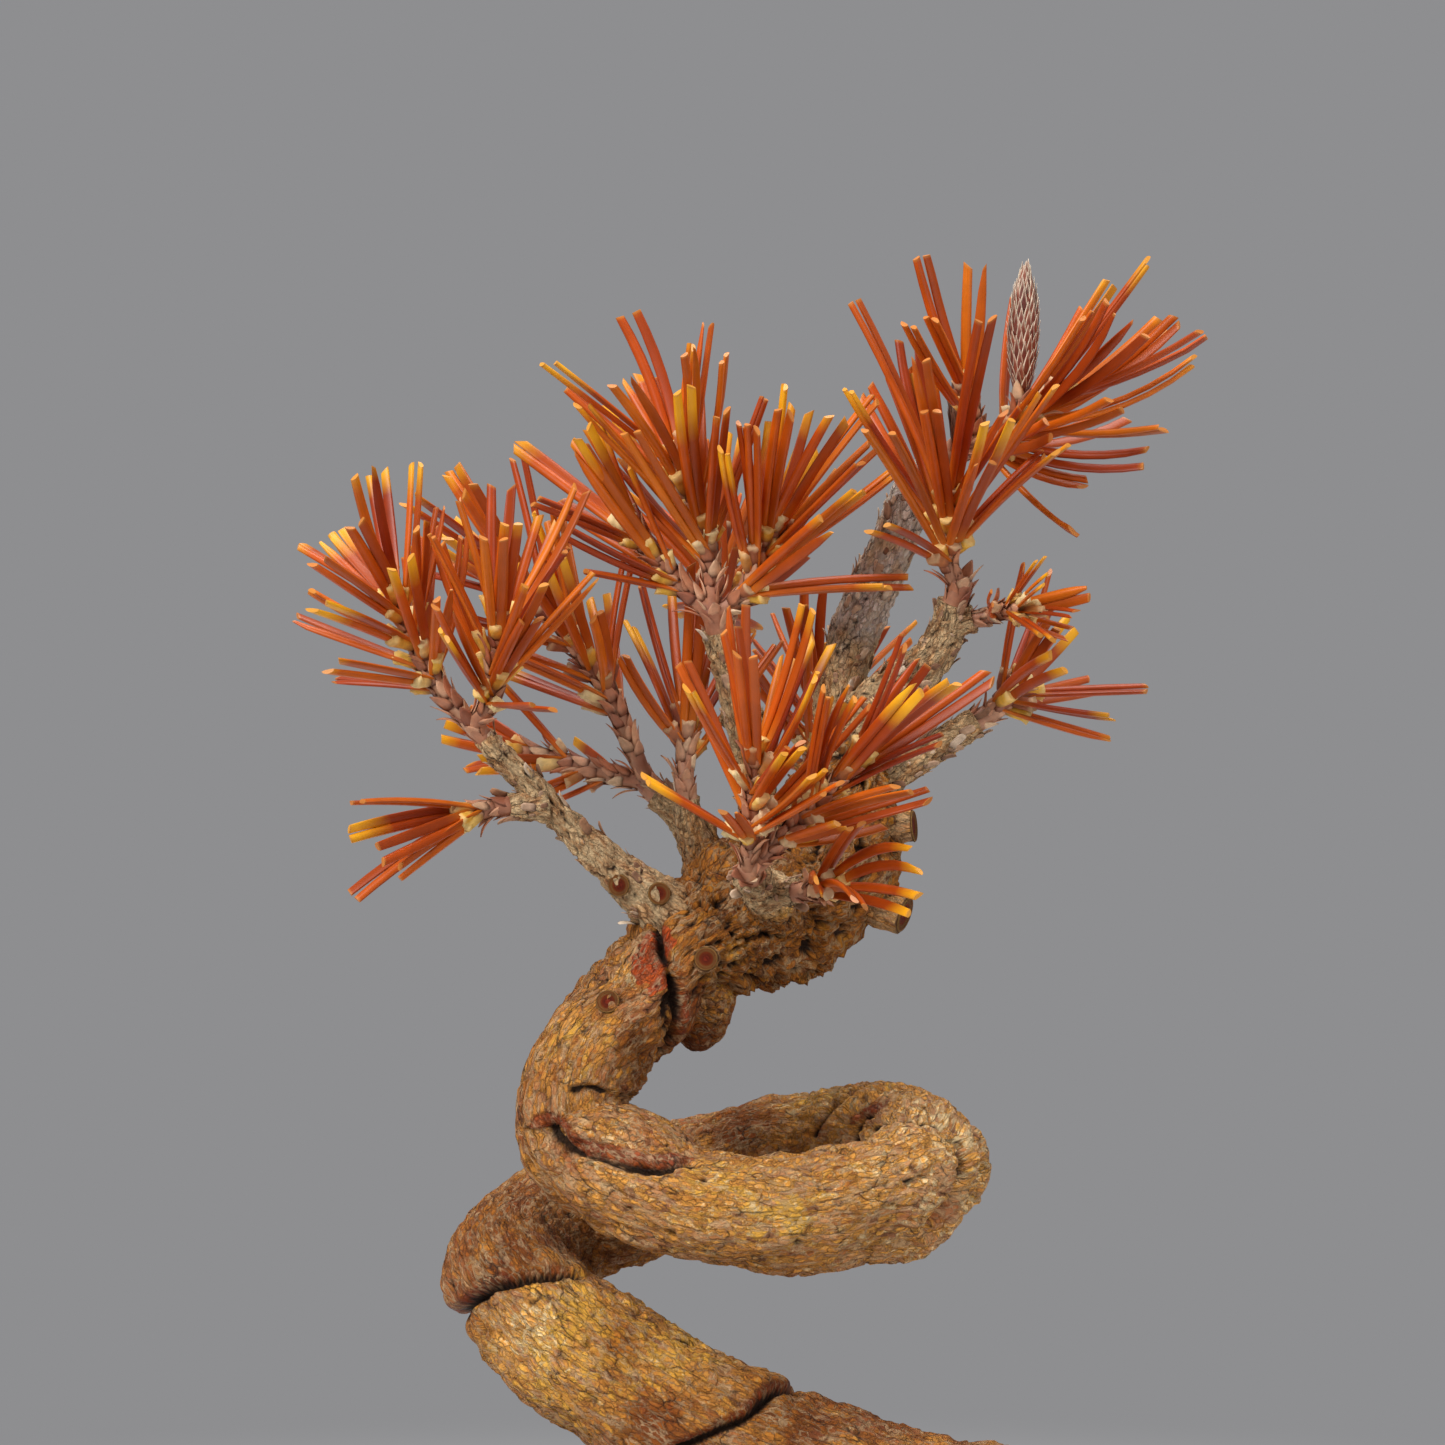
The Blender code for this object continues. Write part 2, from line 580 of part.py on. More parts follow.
def make_pot(home, cutters, clay):
    """The pot: a turned bowl with a rim, three feet and one drain hole."""
    levels = np.linspace(POT_FLOOR, POT_RIM_FOOT, POT_WALL_LEVELS + 1)
    inside = [(pot_inner_radius(z), z) for z in levels]
    outside = [(r + POT_WALL, z) for r, z in reversed(inside)]
    rim = [(pot_inner_radius(POT_HEIGHT), POT_HEIGHT), (POT_RIM_RADIUS, POT_HEIGHT),
           (POT_RIM_RADIUS, POT_RIM_FOOT + POT_RIM_BEVEL)]
    bottom = [(POT_FLOOR_RADIUS - POT_HEEL, FOOT_HEIGHT), (0, FOOT_HEIGHT)]
    pot = turned("pot", [(0, POT_FLOOR), *inside, *rim, *outside, *bottom], home, POT_SIDES, clay)

    feet = collection("feet")
    ring_out = POT_FLOOR_RADIUS - FOOT_INSET
    ring_in = ring_out - FOOT_WIDTH
    top = FOOT_HEIGHT + FOOT_SINK
    ring = turned("foot_ring", [(ring_in, 0), (ring_in, top), (ring_out, top), (ring_out, 0), (ring_in, 0)],
                  feet, POT_SIDES, clay)
    half = math.radians(FOOT_GAP_DEG / 2)
    reach = 2 * POT_FLOOR_RADIUS
    for k in range(FOOT_COUNT):
        middle = math.radians(90 + k * 360 / FOOT_COUNT)

        def wedge(bm, middle=middle):
            turns = (middle - half, middle + half)
            corners = [(0, 0), *[(reach * math.cos(turn), reach * math.sin(turn)) for turn in turns]]
            loft(bm, [[(x, y, z) for x, y in corners] for z in (-CUT_PAST, top + CUT_PAST)])
        cut(ring, add_mesh(f"foot_gap_{k}", wedge, cutters))
    bake(ring)
    bake(pot)
    fuse(pot, feet)
    cut(pot, cylinder("drain", DRAIN_RADIUS, FOOT_HEIGHT - CUT_PAST, POT_FLOOR + CUT_PAST, cutters))
    return shade_round(bake(pot))


def make_screen(home, cutters, plastic):
    """The plastic net over the drain hole, under the soil."""
    low = POT_FLOOR + GAP
    high = low + SCREEN_THICKNESS
    screen = add_mesh("drain_screen", lambda bm: plate(bm, SCREEN_SIDE, low, high), home, plastic)
    pitch = SCREEN_SIDE / SCREEN_BARS
    spots = [pitch * (k + 1) - SCREEN_SIDE / 2 for k in range(SCREEN_BARS - 1)]

    def holes(bm):
        for x in spots:
            for y in spots:
                plate(bm, pitch * SCREEN_HOLE_SHARE, low - CUT_PAST, high + CUT_PAST, x, y)

    cut(screen, add_mesh("net_holes", holes, cutters))
    return bake(screen)


def make_soil(home, cutters, earth):
    """Granular soil with a low dome, cut clear of the roots, the pot and the screen."""
    floor = POT_FLOOR + GAP
    draw = random.Random(SOIL_SEED)

    def fill(bm):
        rings = []
        for z in np.linspace(floor, SOIL_TOP, SOIL_LEVELS + 1):
            radius = pot_inner_radius(z) - GAP
            rings.append([(radius * math.cos(2 * math.pi * k / SOIL_SIDES),
                           radius * math.sin(2 * math.pi * k / SOIL_SIDES), z) for k in range(SOIL_SIDES)])
        for i in range(1, SOIL_RINGS):
            share = 1 - i / SOIL_RINGS
            reach = (pot_inner_radius(SOIL_TOP) - GAP) * share
            ring = []
            for k in range(SOIL_SIDES):
                angle = 2 * math.pi * (k + 0.5 * (i % 2)) / SOIL_SIDES
                rise = SOIL_DOME * (1 - share**2) + draw.uniform(-1, 1) * SOIL_ROUGHNESS
                ring.append((reach * math.cos(angle), reach * math.sin(angle), SOIL_TOP + rise))
            rings.append(ring)
        loft(bm, rings)

    soil = add_mesh("soil", fill, home, earth)
    recess = SCREEN_SIDE + 2 * GAP
    roof = floor + SCREEN_THICKNESS + GAP
    cut(soil, add_mesh("screen_pocket", lambda bm: plate(bm, recess, floor - CUT_PAST, roof), cutters))
    cut(soil, make_socket(cutters))
    return shade_round(bake(soil))


def root_rows(compass, reach, radius):
    """One surface root, from inside the trunk's foot, over the soil and down into it."""
    foot = Vector(TRUNK[1][:2])
    way = Vector((math.cos(math.radians(compass)), math.sin(math.radians(compass))))
    sweep = Vector((-way.y, way.x)) * ROOT_SWEEP * reach
    rows = []
    for share, drop, girth in ROOT_SHAPE:
        spot = foot + way * reach * share + sweep * math.sin(share * math.pi)
        rows.append((spot.x, spot.y, ROOT_TOP - drop, radius * girth))
    return rows


def make_socket(cutters):
    """The plain hole that the trunk's foot and roots stand in, a little wider than they are."""
    foot = TrunkSkin().rings(GAP, SOCKET_STATION)
    socket = add_mesh("socket", lambda bm: loft(bm, foot), cutters)
    rooms = collection("root_rooms")
    for k, root in enumerate(ROOTS):
        rows = np.array(root_rows(*root))
        rows[-1] += unit(rows[-1] - rows[-2]) * GAP * 2
        tube(f"root_room_{k}", rows, rooms, ROOT_SIDES, ROOT_STEP, fatter=GAP)
    return helper(fuse(socket, rooms, self_crossing=True))


def make_wood(home, cutters, bark):
    """The trunk, its folds and stubs, the branches and the roots, grown together as one solid."""
    skin = TrunkSkin()
    wood = add_mesh("wood", lambda bm: loft(bm, skin.rings()), home, bark)
    grown = collection("grown")
    for name, rows in BRANCHES.items():
        tube("branch_" + name, rows, grown, BRANCH_SIDES, BRANCH_STEP)
    for k, root in enumerate(ROOTS):
        tube(f"root_{k}", root_rows(*root), grown, ROOT_SIDES, ROOT_STEP)
    for k, (foot, way, radius, length) in enumerate(STUBS):
        end = Vector(foot) + Vector(way).normalized() * length
        tube(f"stub_{k}", [(*foot, radius * STUB_FLARE), (*end, radius)], grown, STUB_SIDES, ONE_PIECE)
    for k, (centre, half, turn) in enumerate(FOLDS):
        def fill(bm, centre=centre, half=half, turn=turn):
            place = Matrix.Translation(mm(*centre)) @ Matrix.Rotation(math.radians(turn), 4, "Y")
            size = Matrix.Diagonal((*mm(*half), 1.0))
            bmesh.ops.create_uvsphere(bm, u_segments=FOLD_SEGMENTS, v_segments=FOLD_RINGS, radius=1.0,
                                      matrix=place @ size)
        add_mesh(f"fold_{k}", fill, grown)
    fuse(wood, grown, self_crossing=True)
    for k, scar in enumerate(skin.scars):
        cut(wood, tube(f"wire_{k}", skin.groove(scar), cutters, SCAR_SIDES, ONE_PIECE))
    return shade_round(bake(wood))


class Crowd:
    """Everything that a needle has to stay clear of, as straight runs with a radius and an owner."""

    def __init__(self):
        self.starts, self.ends, self.radii, self.owners = [], [], [], []

    def add(self, start, end, radius, owner):
        self.starts.append(np.array(start, float))
        self.ends.append(np.array(end, float))
        self.radii.append(radius)
        self.owners.append(owner)

    def add_path(self, rows, owner):
        path = smooth_path(rows, CROWD_STEP)
        for (_, a, radius), (_, b, _) in zip(path, path[1:]):
            self.add(a, b, radius, owner)

    def room(self, start, end, keep):
        """The least room between the middle line of a needle and the runs whose owner is kept."""
        chosen = [i for i, owner in enumerate(self.owners) if keep(owner)]
        if not chosen:
            return math.inf
        points = start + np.linspace(0.0, 1.0, ROOM_POINTS)[:, None] * (end - start)
        a, b = np.array(self.starts)[chosen], np.array(self.ends)[chosen]
        run = b - a
        t = np.einsum("pij,ij->pi", points[:, None] - a, run) / np.maximum((run**2).sum(1), 1e-9)
        near = a + np.clip(t, 0, 1)[..., None] * run
        away = np.linalg.norm(points[:, None] - near, axis=2) - np.array(self.radii)[chosen]
        return float(away.min()) - NEEDLE_WIDTH / 2

    def has_room(self, start, end, owner):
        """Whether a needle is clear of every other solid, and its outer part of its own spray's needles."""
        shoots = owner + "_shoots"
        outer = start + (end - start) * OWN_ROOT_SHARE
        from_others = self.room(start, end, lambda name: name not in (owner, shoots))
        from_own = self.room(outer, end, lambda name: name == owner)
        return from_others > NEEDLE_CLEARANCE and from_own > OWN_CLEARANCE


def unit(vector):
    return vector / np.linalg.norm(vector)


def across(axis):
    """Two directions square to an axis and to each other."""
    axis = unit(np.array(axis, float))
    other = np.array((0.0, 0.0, 1.0)) if abs(axis[2]) < 0.9 else np.array((1.0, 0.0, 0.0))
    side = unit(np.cross(axis, other))
    return side, np.cross(axis, side)


def point_on(rows, share):
    """The point and the direction at a share of the way along (position, radius) rows."""
    spots = np.array([p for _, p, _ in rows])
    runs = np.linalg.norm(np.diff(spots, axis=0), axis=1)
    reach = np.concatenate([[0], np.cumsum(runs)])
    at = share * reach[-1]
    i = min(int(np.searchsorted(reach, at, side="right")) - 1, len(runs) - 1)
    way = (spots[i + 1] - spots[i]) / runs[i]
    return spots[i] + way * (at - reach[i]), way


def needle_pairs(rows, shoot, draw, crowd, owner):
    """The needles of one shoot: pairs set round it by the golden angle, each clear of what stands near."""
    _, count, length, lean_foot, lean_tip = shoot
    needles = []
    for k in range(count):
        share = FIRST_PAIR_AT + (1 - FIRST_PAIR_AT) * k / max(1, count - 1)
        start, axis = point_on(rows, min(share, LAST_PAIR_AT))
        side, up = across(axis)
        for attempt in range(NEEDLE_TRIES):
            free = attempt / NEEDLE_TRIES
            stray = draw.uniform(-TURN_SPREAD_DEG, TURN_SPREAD_DEG) * (1 + FREER_TURN * free)
            turn = math.radians(GOLDEN_DEG * k + stray)
            stray = draw.uniform(-LEAN_SPREAD_DEG, LEAN_SPREAD_DEG) * (1 + FREER_LEAN * free)
            lean = math.radians(max(LEAST_LEAN_DEG, lean_foot + (lean_tip - lean_foot) * share + stray))
            out = side * math.cos(turn) + up * math.sin(turn)
            way = axis * math.cos(lean) + out * math.sin(lean)
            apart = unit(np.cross(way, out))
            reach = length * draw.uniform(*LENGTH_SPREAD) * (1 - FREER_LENGTH * free)
            pair = []
            for hand in (-1, 1):
                begin = start + out * NEEDLE_ROOT + apart * hand * PAIR_APART
                line = unit(way + apart * hand * math.tan(math.radians(PAIR_PART_DEG) / 2))
                pair.append((begin, begin + line * reach, apart * hand))
            if all(crowd.has_room(begin, end, owner) for begin, end, _ in pair):
                needles += pair
                break
    return needles


def add_needle(name, start, end, facing, home):
    """One three-sided needle with a square-cut tip, its flat face towards its twin."""
    along = unit(end - start)
    facing = unit(facing - along * (facing @ along))
    turn = Matrix((np.cross(facing, along), facing, along)).transposed().to_4x4()
    place = Matrix.Translation(Vector((start + end) / 2) * MM) @ turn
    flat = Matrix.Diagonal((NEEDLE_WIDTH / math.sqrt(3), NEEDLE_THICKNESS / 1.5, 1.0, 1.0))
    length = float(np.linalg.norm(end - start)) * MM

    def fill(bm):
        bmesh.ops.create_cone(bm, cap_ends=True, segments=3, radius1=MM, radius2=NEEDLE_TIP_SHARE * MM,
                              depth=length, matrix=place @ flat)
    return add_mesh(name, fill, home)


def end_of(rows):
    """The end of a branch: its point, direction and radius."""
    path = smooth_path(rows, BRANCH_STEP)
    return path[-1][1], unit(path[-1][1] - path[-2][1]), path[-1][2]


def plan_sprays():
    """Every spray's collar, shoots and needles, drawn one spray after another so that none cross."""
    crowd = Crowd()
    crowd.add_path(TRUNK, "wood")
    for rows in BRANCHES.values():
        crowd.add_path(rows, "wood")
    foot, tip = np.array(BUD_FOOT), np.array(BUD_TIP)
    crowd.add(SMALL_BUD[1], SMALL_BUD[2], SMALL_BUD[3], "small_bud")
    for low, high, thick in BUD_ROOM:
        crowd.add(foot + (tip - foot) * low, foot + (tip - foot) * high, BUD_RADIUS * thick, "bud")
    sprays = {}
    for name, (branch, seed, shoots) in SPRAYS.items():
        seat, way, radius = end_of(BRANCHES[branch])
        fork = seat + way * (GAP + COLLAR * FORK_AT)
        lines = []
        for path, *_ in shoots:
            rows = [(*fork, SHOOT_RADIUS), *[(*p, SHOOT_RADIUS) for p in path[:-1]],
                    (*path[-1], SHOOT_RADIUS * SHOOT_TAPER)]
            lines.append(smooth_path(rows, SHOOT_STEP))
            crowd.add_path(rows, name + "_shoots")
        sprays[name] = {"collar": (seat + way * GAP, seat + way * (GAP + COLLAR), radius), "lines": lines,
                        "seed": seed, "shoots": shoots, "needles": []}
    for name, spray in sprays.items():
        draw = random.Random(spray["seed"])
        for line, shoot in zip(spray["lines"], spray["shoots"]):
            found = needle_pairs(line, shoot, draw, crowd, name)
            for start, end, _ in found:
                crowd.add(start, end, NEEDLE_WIDTH / 2, name)
            spray["needles"] += found
    return sprays


def make_spray(name, spray, home, look):
    """One spray: a collar on the branch's end, its shoots and all their needles, as one solid."""
    low, high, radius = spray["collar"]
    rows = [(*low, radius), (*high, radius * COLLAR_TAPER)]
    core = tube(name, rows, home, SHOOT_SIDES, ONE_PIECE, look=look)
    parts = collection(name + "_parts")
    for k, line in enumerate(spray["lines"]):
        rows = [(*spot, radius) for _, spot, radius in line]
        tube(f"{name}_shoot_{k}", rows, parts, SHOOT_SIDES, ONE_PIECE)
    for k, (start, end, facing) in enumerate(spray["needles"]):
        add_needle(f"{name}_needle_{k}", start, end, facing, parts)
    if name == SMALL_BUD[0]:
        foot, tip, radius = (np.array(value) for value in SMALL_BUD[1:])
        rows = [(*(foot + (tip - foot) * share), radius * thick) for share, thick in SMALL_BUD_SHAPE]
        tube(name + "_bud", rows, parts, SHOOT_SIDES, ONE_PIECE)
    return shade_round(fuse(core, parts, solver="MANIFOLD"))


def make_bud(home, look):
    """The bud: a slim round cone whose overlapping scales stand out as a spiral relief."""
    foot, tip = np.array(BUD_FOOT), np.array(BUD_TIP)
    side, up = across(tip - foot)
    shares, girths = zip(*BUD_PROFILE)
    rings = []
    for i in range(BUD_RINGS + 1):
        share = i / BUD_RINGS
        ring = []
        for k in range(BUD_SIDES):
            angle = 2 * math.pi * (k + 0.5 * (i % 2)) / BUD_SIDES
            on_scale = (k + i // 2) % BUD_SCALES_ROUND == 0
            relief = (BUD_SCALE_DEPTH if on_scale else -BUD_SCALE_DIP) * (1 - share)
            reach = BUD_RADIUS * np.interp(share, shares, girths) + relief
            out = side * math.cos(angle) + up * math.sin(angle)
            ring.append(foot + (tip - foot) * share + out * reach)
        rings.append(ring)
    return shade_round(add_mesh("bud", lambda bm: loft(bm, rings), home, look))


def main():
    clear_scene()
    home = collection("japanese_black_pine_bonsai")
    cutters = collection("cutters")
    clay = material("clay", (0.20, 0.10, 0.07), 0.75)
    plastic = material("net", (0.03, 0.03, 0.03), 0.6)
    earth = material("soil", (0.22, 0.14, 0.08), 0.95)
    bark = material("bark", (0.36, 0.20, 0.10), 0.85)
    needles = material("needles", (0.60, 0.17, 0.02), 0.35)
    bud_scales = material("bud_scales", (0.45, 0.32, 0.28), 0.7)

    make_pot(home, cutters, clay)
    make_screen(home, cutters, plastic)
    make_soil(home, cutters, earth)
    make_wood(home, cutters, bark)
    for name, spray in plan_sprays().items():
        make_spray(name, spray, home, needles)
    make_bud(home, bud_scales)


main()
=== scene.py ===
import math
import random

import bmesh
import bpy
import numpy as np
from mathutils import Matrix, Vector


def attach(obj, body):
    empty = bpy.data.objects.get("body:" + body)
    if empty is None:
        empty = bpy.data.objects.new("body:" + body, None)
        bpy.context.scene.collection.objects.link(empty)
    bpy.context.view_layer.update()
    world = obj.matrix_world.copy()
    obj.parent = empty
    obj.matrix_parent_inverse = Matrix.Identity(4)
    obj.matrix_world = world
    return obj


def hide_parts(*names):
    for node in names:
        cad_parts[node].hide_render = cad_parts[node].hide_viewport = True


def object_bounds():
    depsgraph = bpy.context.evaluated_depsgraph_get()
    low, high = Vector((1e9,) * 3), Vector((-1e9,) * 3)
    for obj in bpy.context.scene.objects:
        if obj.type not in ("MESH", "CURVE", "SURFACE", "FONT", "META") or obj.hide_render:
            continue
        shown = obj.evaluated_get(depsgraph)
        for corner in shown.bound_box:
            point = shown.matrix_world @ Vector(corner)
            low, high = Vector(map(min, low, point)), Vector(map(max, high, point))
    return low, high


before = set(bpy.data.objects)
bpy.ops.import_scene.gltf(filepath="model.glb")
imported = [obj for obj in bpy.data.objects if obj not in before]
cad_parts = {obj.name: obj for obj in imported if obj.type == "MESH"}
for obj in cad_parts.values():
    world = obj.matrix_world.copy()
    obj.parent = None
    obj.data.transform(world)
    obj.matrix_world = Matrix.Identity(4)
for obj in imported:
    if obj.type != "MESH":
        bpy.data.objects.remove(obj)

cad_box = [list(corner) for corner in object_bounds()]

# The trunk: one stem of pine, coiled into one and a half turns by training wire that has since been taken
# off. Its old bark is a thin skin of flat plates over live wood. The tables are in millimetres and run from
# under the soil up to the knot that carries the crown.
MM = 0.001
TRUNK = [
    (1.0, 8.0, 25.0, 12.5), (2.0, 8.5, 37.0, 11.2), (6.0, 11.0, 46.0, 10.4), (14.0, 11.0, 51.0, 9.9),
    (23.0, 7.5, 53.0, 9.6), (28.5, -3.0, 55.0, 9.5), (21.0, -13.0, 59.0, 9.5), (10.5, -18.0, 63.5, 9.4),
    (0.5, -20.0, 67.5, 9.3), (-9.5, -19.0, 72.0, 9.1), (-18.5, -16.0, 77.0, 8.8), (-26.0, -10.0, 82.0, 8.5),
    (-30.5, -1.0, 86.5, 8.2), (-27.0, 8.0, 89.5, 8.0), (-19.5, 14.0, 91.5, 7.8), (-9.5, 19.0, 94.5, 7.6),
    (1.0, 21.0, 98.0, 7.5), (11.0, 19.0, 99.5, 7.5), (19.0, 12.0, 100.0, 7.5), (22.0, 1.0, 100.0, 7.5),
    (18.5, -9.0, 99.0, 7.5), (12.0, -16.0, 97.5, 7.5), (3.0, -19.0, 97.0, 7.5), (-7.0, -19.0, 98.0, 7.4),
    (-15.0, -16.0, 100.5, 7.2), (-20.5, -12.0, 104.0, 7.0), (-22.0, -10.0, 110.5, 7.0),
    (-19.5, -9.0, 116.5, 7.0), (-14.5, -7.0, 121.5, 6.8), (-9.5, -4.0, 126.5, 7.1), (-4.0, -1.0, 130.0, 8.0),
    (2.0, 1.0, 133.0, 9.3), (7.5, 3.0, 136.5, 9.0), (10.0, 5.0, 141.5, 7.7), (11.5, 6.5, 147.0, 6.2),
    (12.5, 8.0, 153.0, 4.6),
]
TRUNK_STEP = 0.43
TRUNK_SIDES = 124
KNOT_STATION = 31.5
CRAGGY_FROM = (27.0, 30.0)  # stations
BEND_LIMIT = 0.86  # of the way to the middle of a bend, past which its rings would cross
WIRE_CLIMB = -4.8  # millimetres along the trunk for a radian round it
WIRE_SCARS = [  # station, direction that the middle faces, degrees to each side, depth, how red its lip is
    (5.2, (0.9, 0.2, 0.5), 70.0, 1.0, 0.8), (8.4, (0.0, -0.75, 0.65), 85.0, 1.4, 0.75),
    (11.4, (-0.5, -0.85, 0.1), 95.0, 1.8, 0.7), (14.4, (0.1, 1.0, 0.3), 75.0, 1.1, 0.6),
    (17.5, (-0.2, -0.3, 1.0), 70.0, 1.2, 0.8), (19.4, (1.0, -0.2, 0.1), 85.0, 1.4, 0.5),
    (28.4, (0.2, -0.95, -0.1), 80.0, 1.6, 0.6),
]

CREASES = [  # width, depth, how red and smooth its upper lip is, and the points that it runs through
    (1.3, 2.1, 1.3, [(-25.2, -16.4, 107.4), (-24.0, -17.3, 105.9), (-21.5, -19.0, 104.7),
                     (-17.8, -21.3, 104.1), (-14.1, -22.9, 103.7), (-11.0, -22.9, 103.9),
                     (-8.2, -21.9, 104.3)]),
    (1.2, 2.2, 0.2, [(25.7, -7.7, 104.5), (26.2, -9.1, 102.4), (25.8, -11.4, 100.3), (24.5, -12.8, 98.3),
                     (22.7, -14.6, 97.1), (21.2, -16.0, 95.6)]),
    (0.8, 1.4, 0.9, [(12.6, 8.6, 101.4), (13.1, 9.2, 103.6), (14.5, 9.0, 105.2), (16.5, 7.2, 106.4)]),
    (0.9, 0.9, 0.0, [(14.9, 5.9, 103.8), (17.0, -3.2, 106.1), (19.4, -6.0, 107.0), (22.4, -5.8, 106.7)]),
    (0.5, 0.7, 0.0, [(-6.1, -23.0, 103.5), (-6.4, -25.2, 102.1), (-7.1, -26.0, 100.5), (-8.0, -26.7, 99.2)]),
    (0.45, 0.7, 0.0, [(-22.4, -16.2, 112.2), (-21.1, -16.3, 112.6), (-19.6, -16.1, 112.5),
                      (-18.6, -16.0, 111.9)]),
    (0.6, 0.9, 0.3, [(-9.9, -20.2, 81.9), (-7.4, -19.2, 81.2), (-4.8, -18.9, 80.2), (-2.3, -19.5, 78.9)]),
    (0.35, 0.5, 0.0, [(18.5, -19.5, 101.5), (19.7, -18.2, 101.7), (21.1, -16.9, 101.4)]),
    (0.9, 1.6, 0.2, [(-10.3, -11.4, 125.8), (-10.7, -13.3, 123.5), (-10.9, -13.8, 121.1),
                     (-10.8, -11.7, 118.3)]),
]
KNOTS = [  # middle and radius of the small ringed scars that dead twigs left
    ((5.1, -25.8, 94.8), 1.0), ((-10.1, -25.6, 96.0), 1.0), ((-15.5, -23.9, 99.2), 0.8),
    ((-27.6, -19.3, 82.4), 0.9), ((-20.7, -22.7, 81.4), 1.0), ((-16.7, -14.0, 122.6), 1.3),
    ((-15.2, -17.3, 108.8), 0.7), ((9.0, 27.5, 100.0), 1.1), ((27.0, 9.0, 99.0), 1.0),
    ((-33.0, 2.0, 92.0), 1.2), ((12.0, 20.0, 56.0), 1.2), ((-15.0, -3.0, 118.0), 0.9),
]
# A low paleness in this table is partly painted shade.
ZONES = [  # station, and how yellow, how red and how pale the bark is there
    (0, 0.4, 0.5, 0.4), (5, 0.3, 0.8, 0.4), (7.6, 0.5, 0.8, 0.35), (8.6, 0.75, 0.4, 0.27),
    (10.8, 0.85, 0.3, 0.34), (11.8, 0.35, 0.75, 0.15), (13.0, 0.3, 0.55, 0.15), (15.0, 0.5, 0.7, 0.4),
    (17.0, 0.75, 0.3, 0.5), (18.6, 0.55, 0.3, 0.75), (20.0, 0.5, 0.35, 0.8), (21.0, 0.55, 0.4, 0.6),
    (23.0, 0.6, 0.45, 0.5), (24.5, 0.4, 0.65, 0.44), (26.0, 0.3, 0.7, 0.28), (28.0, 0.35, 0.7, 0.25),
    (29.5, 0.7, 0.2, 0.04), (35, 0.7, 0.2, 0.02),
]
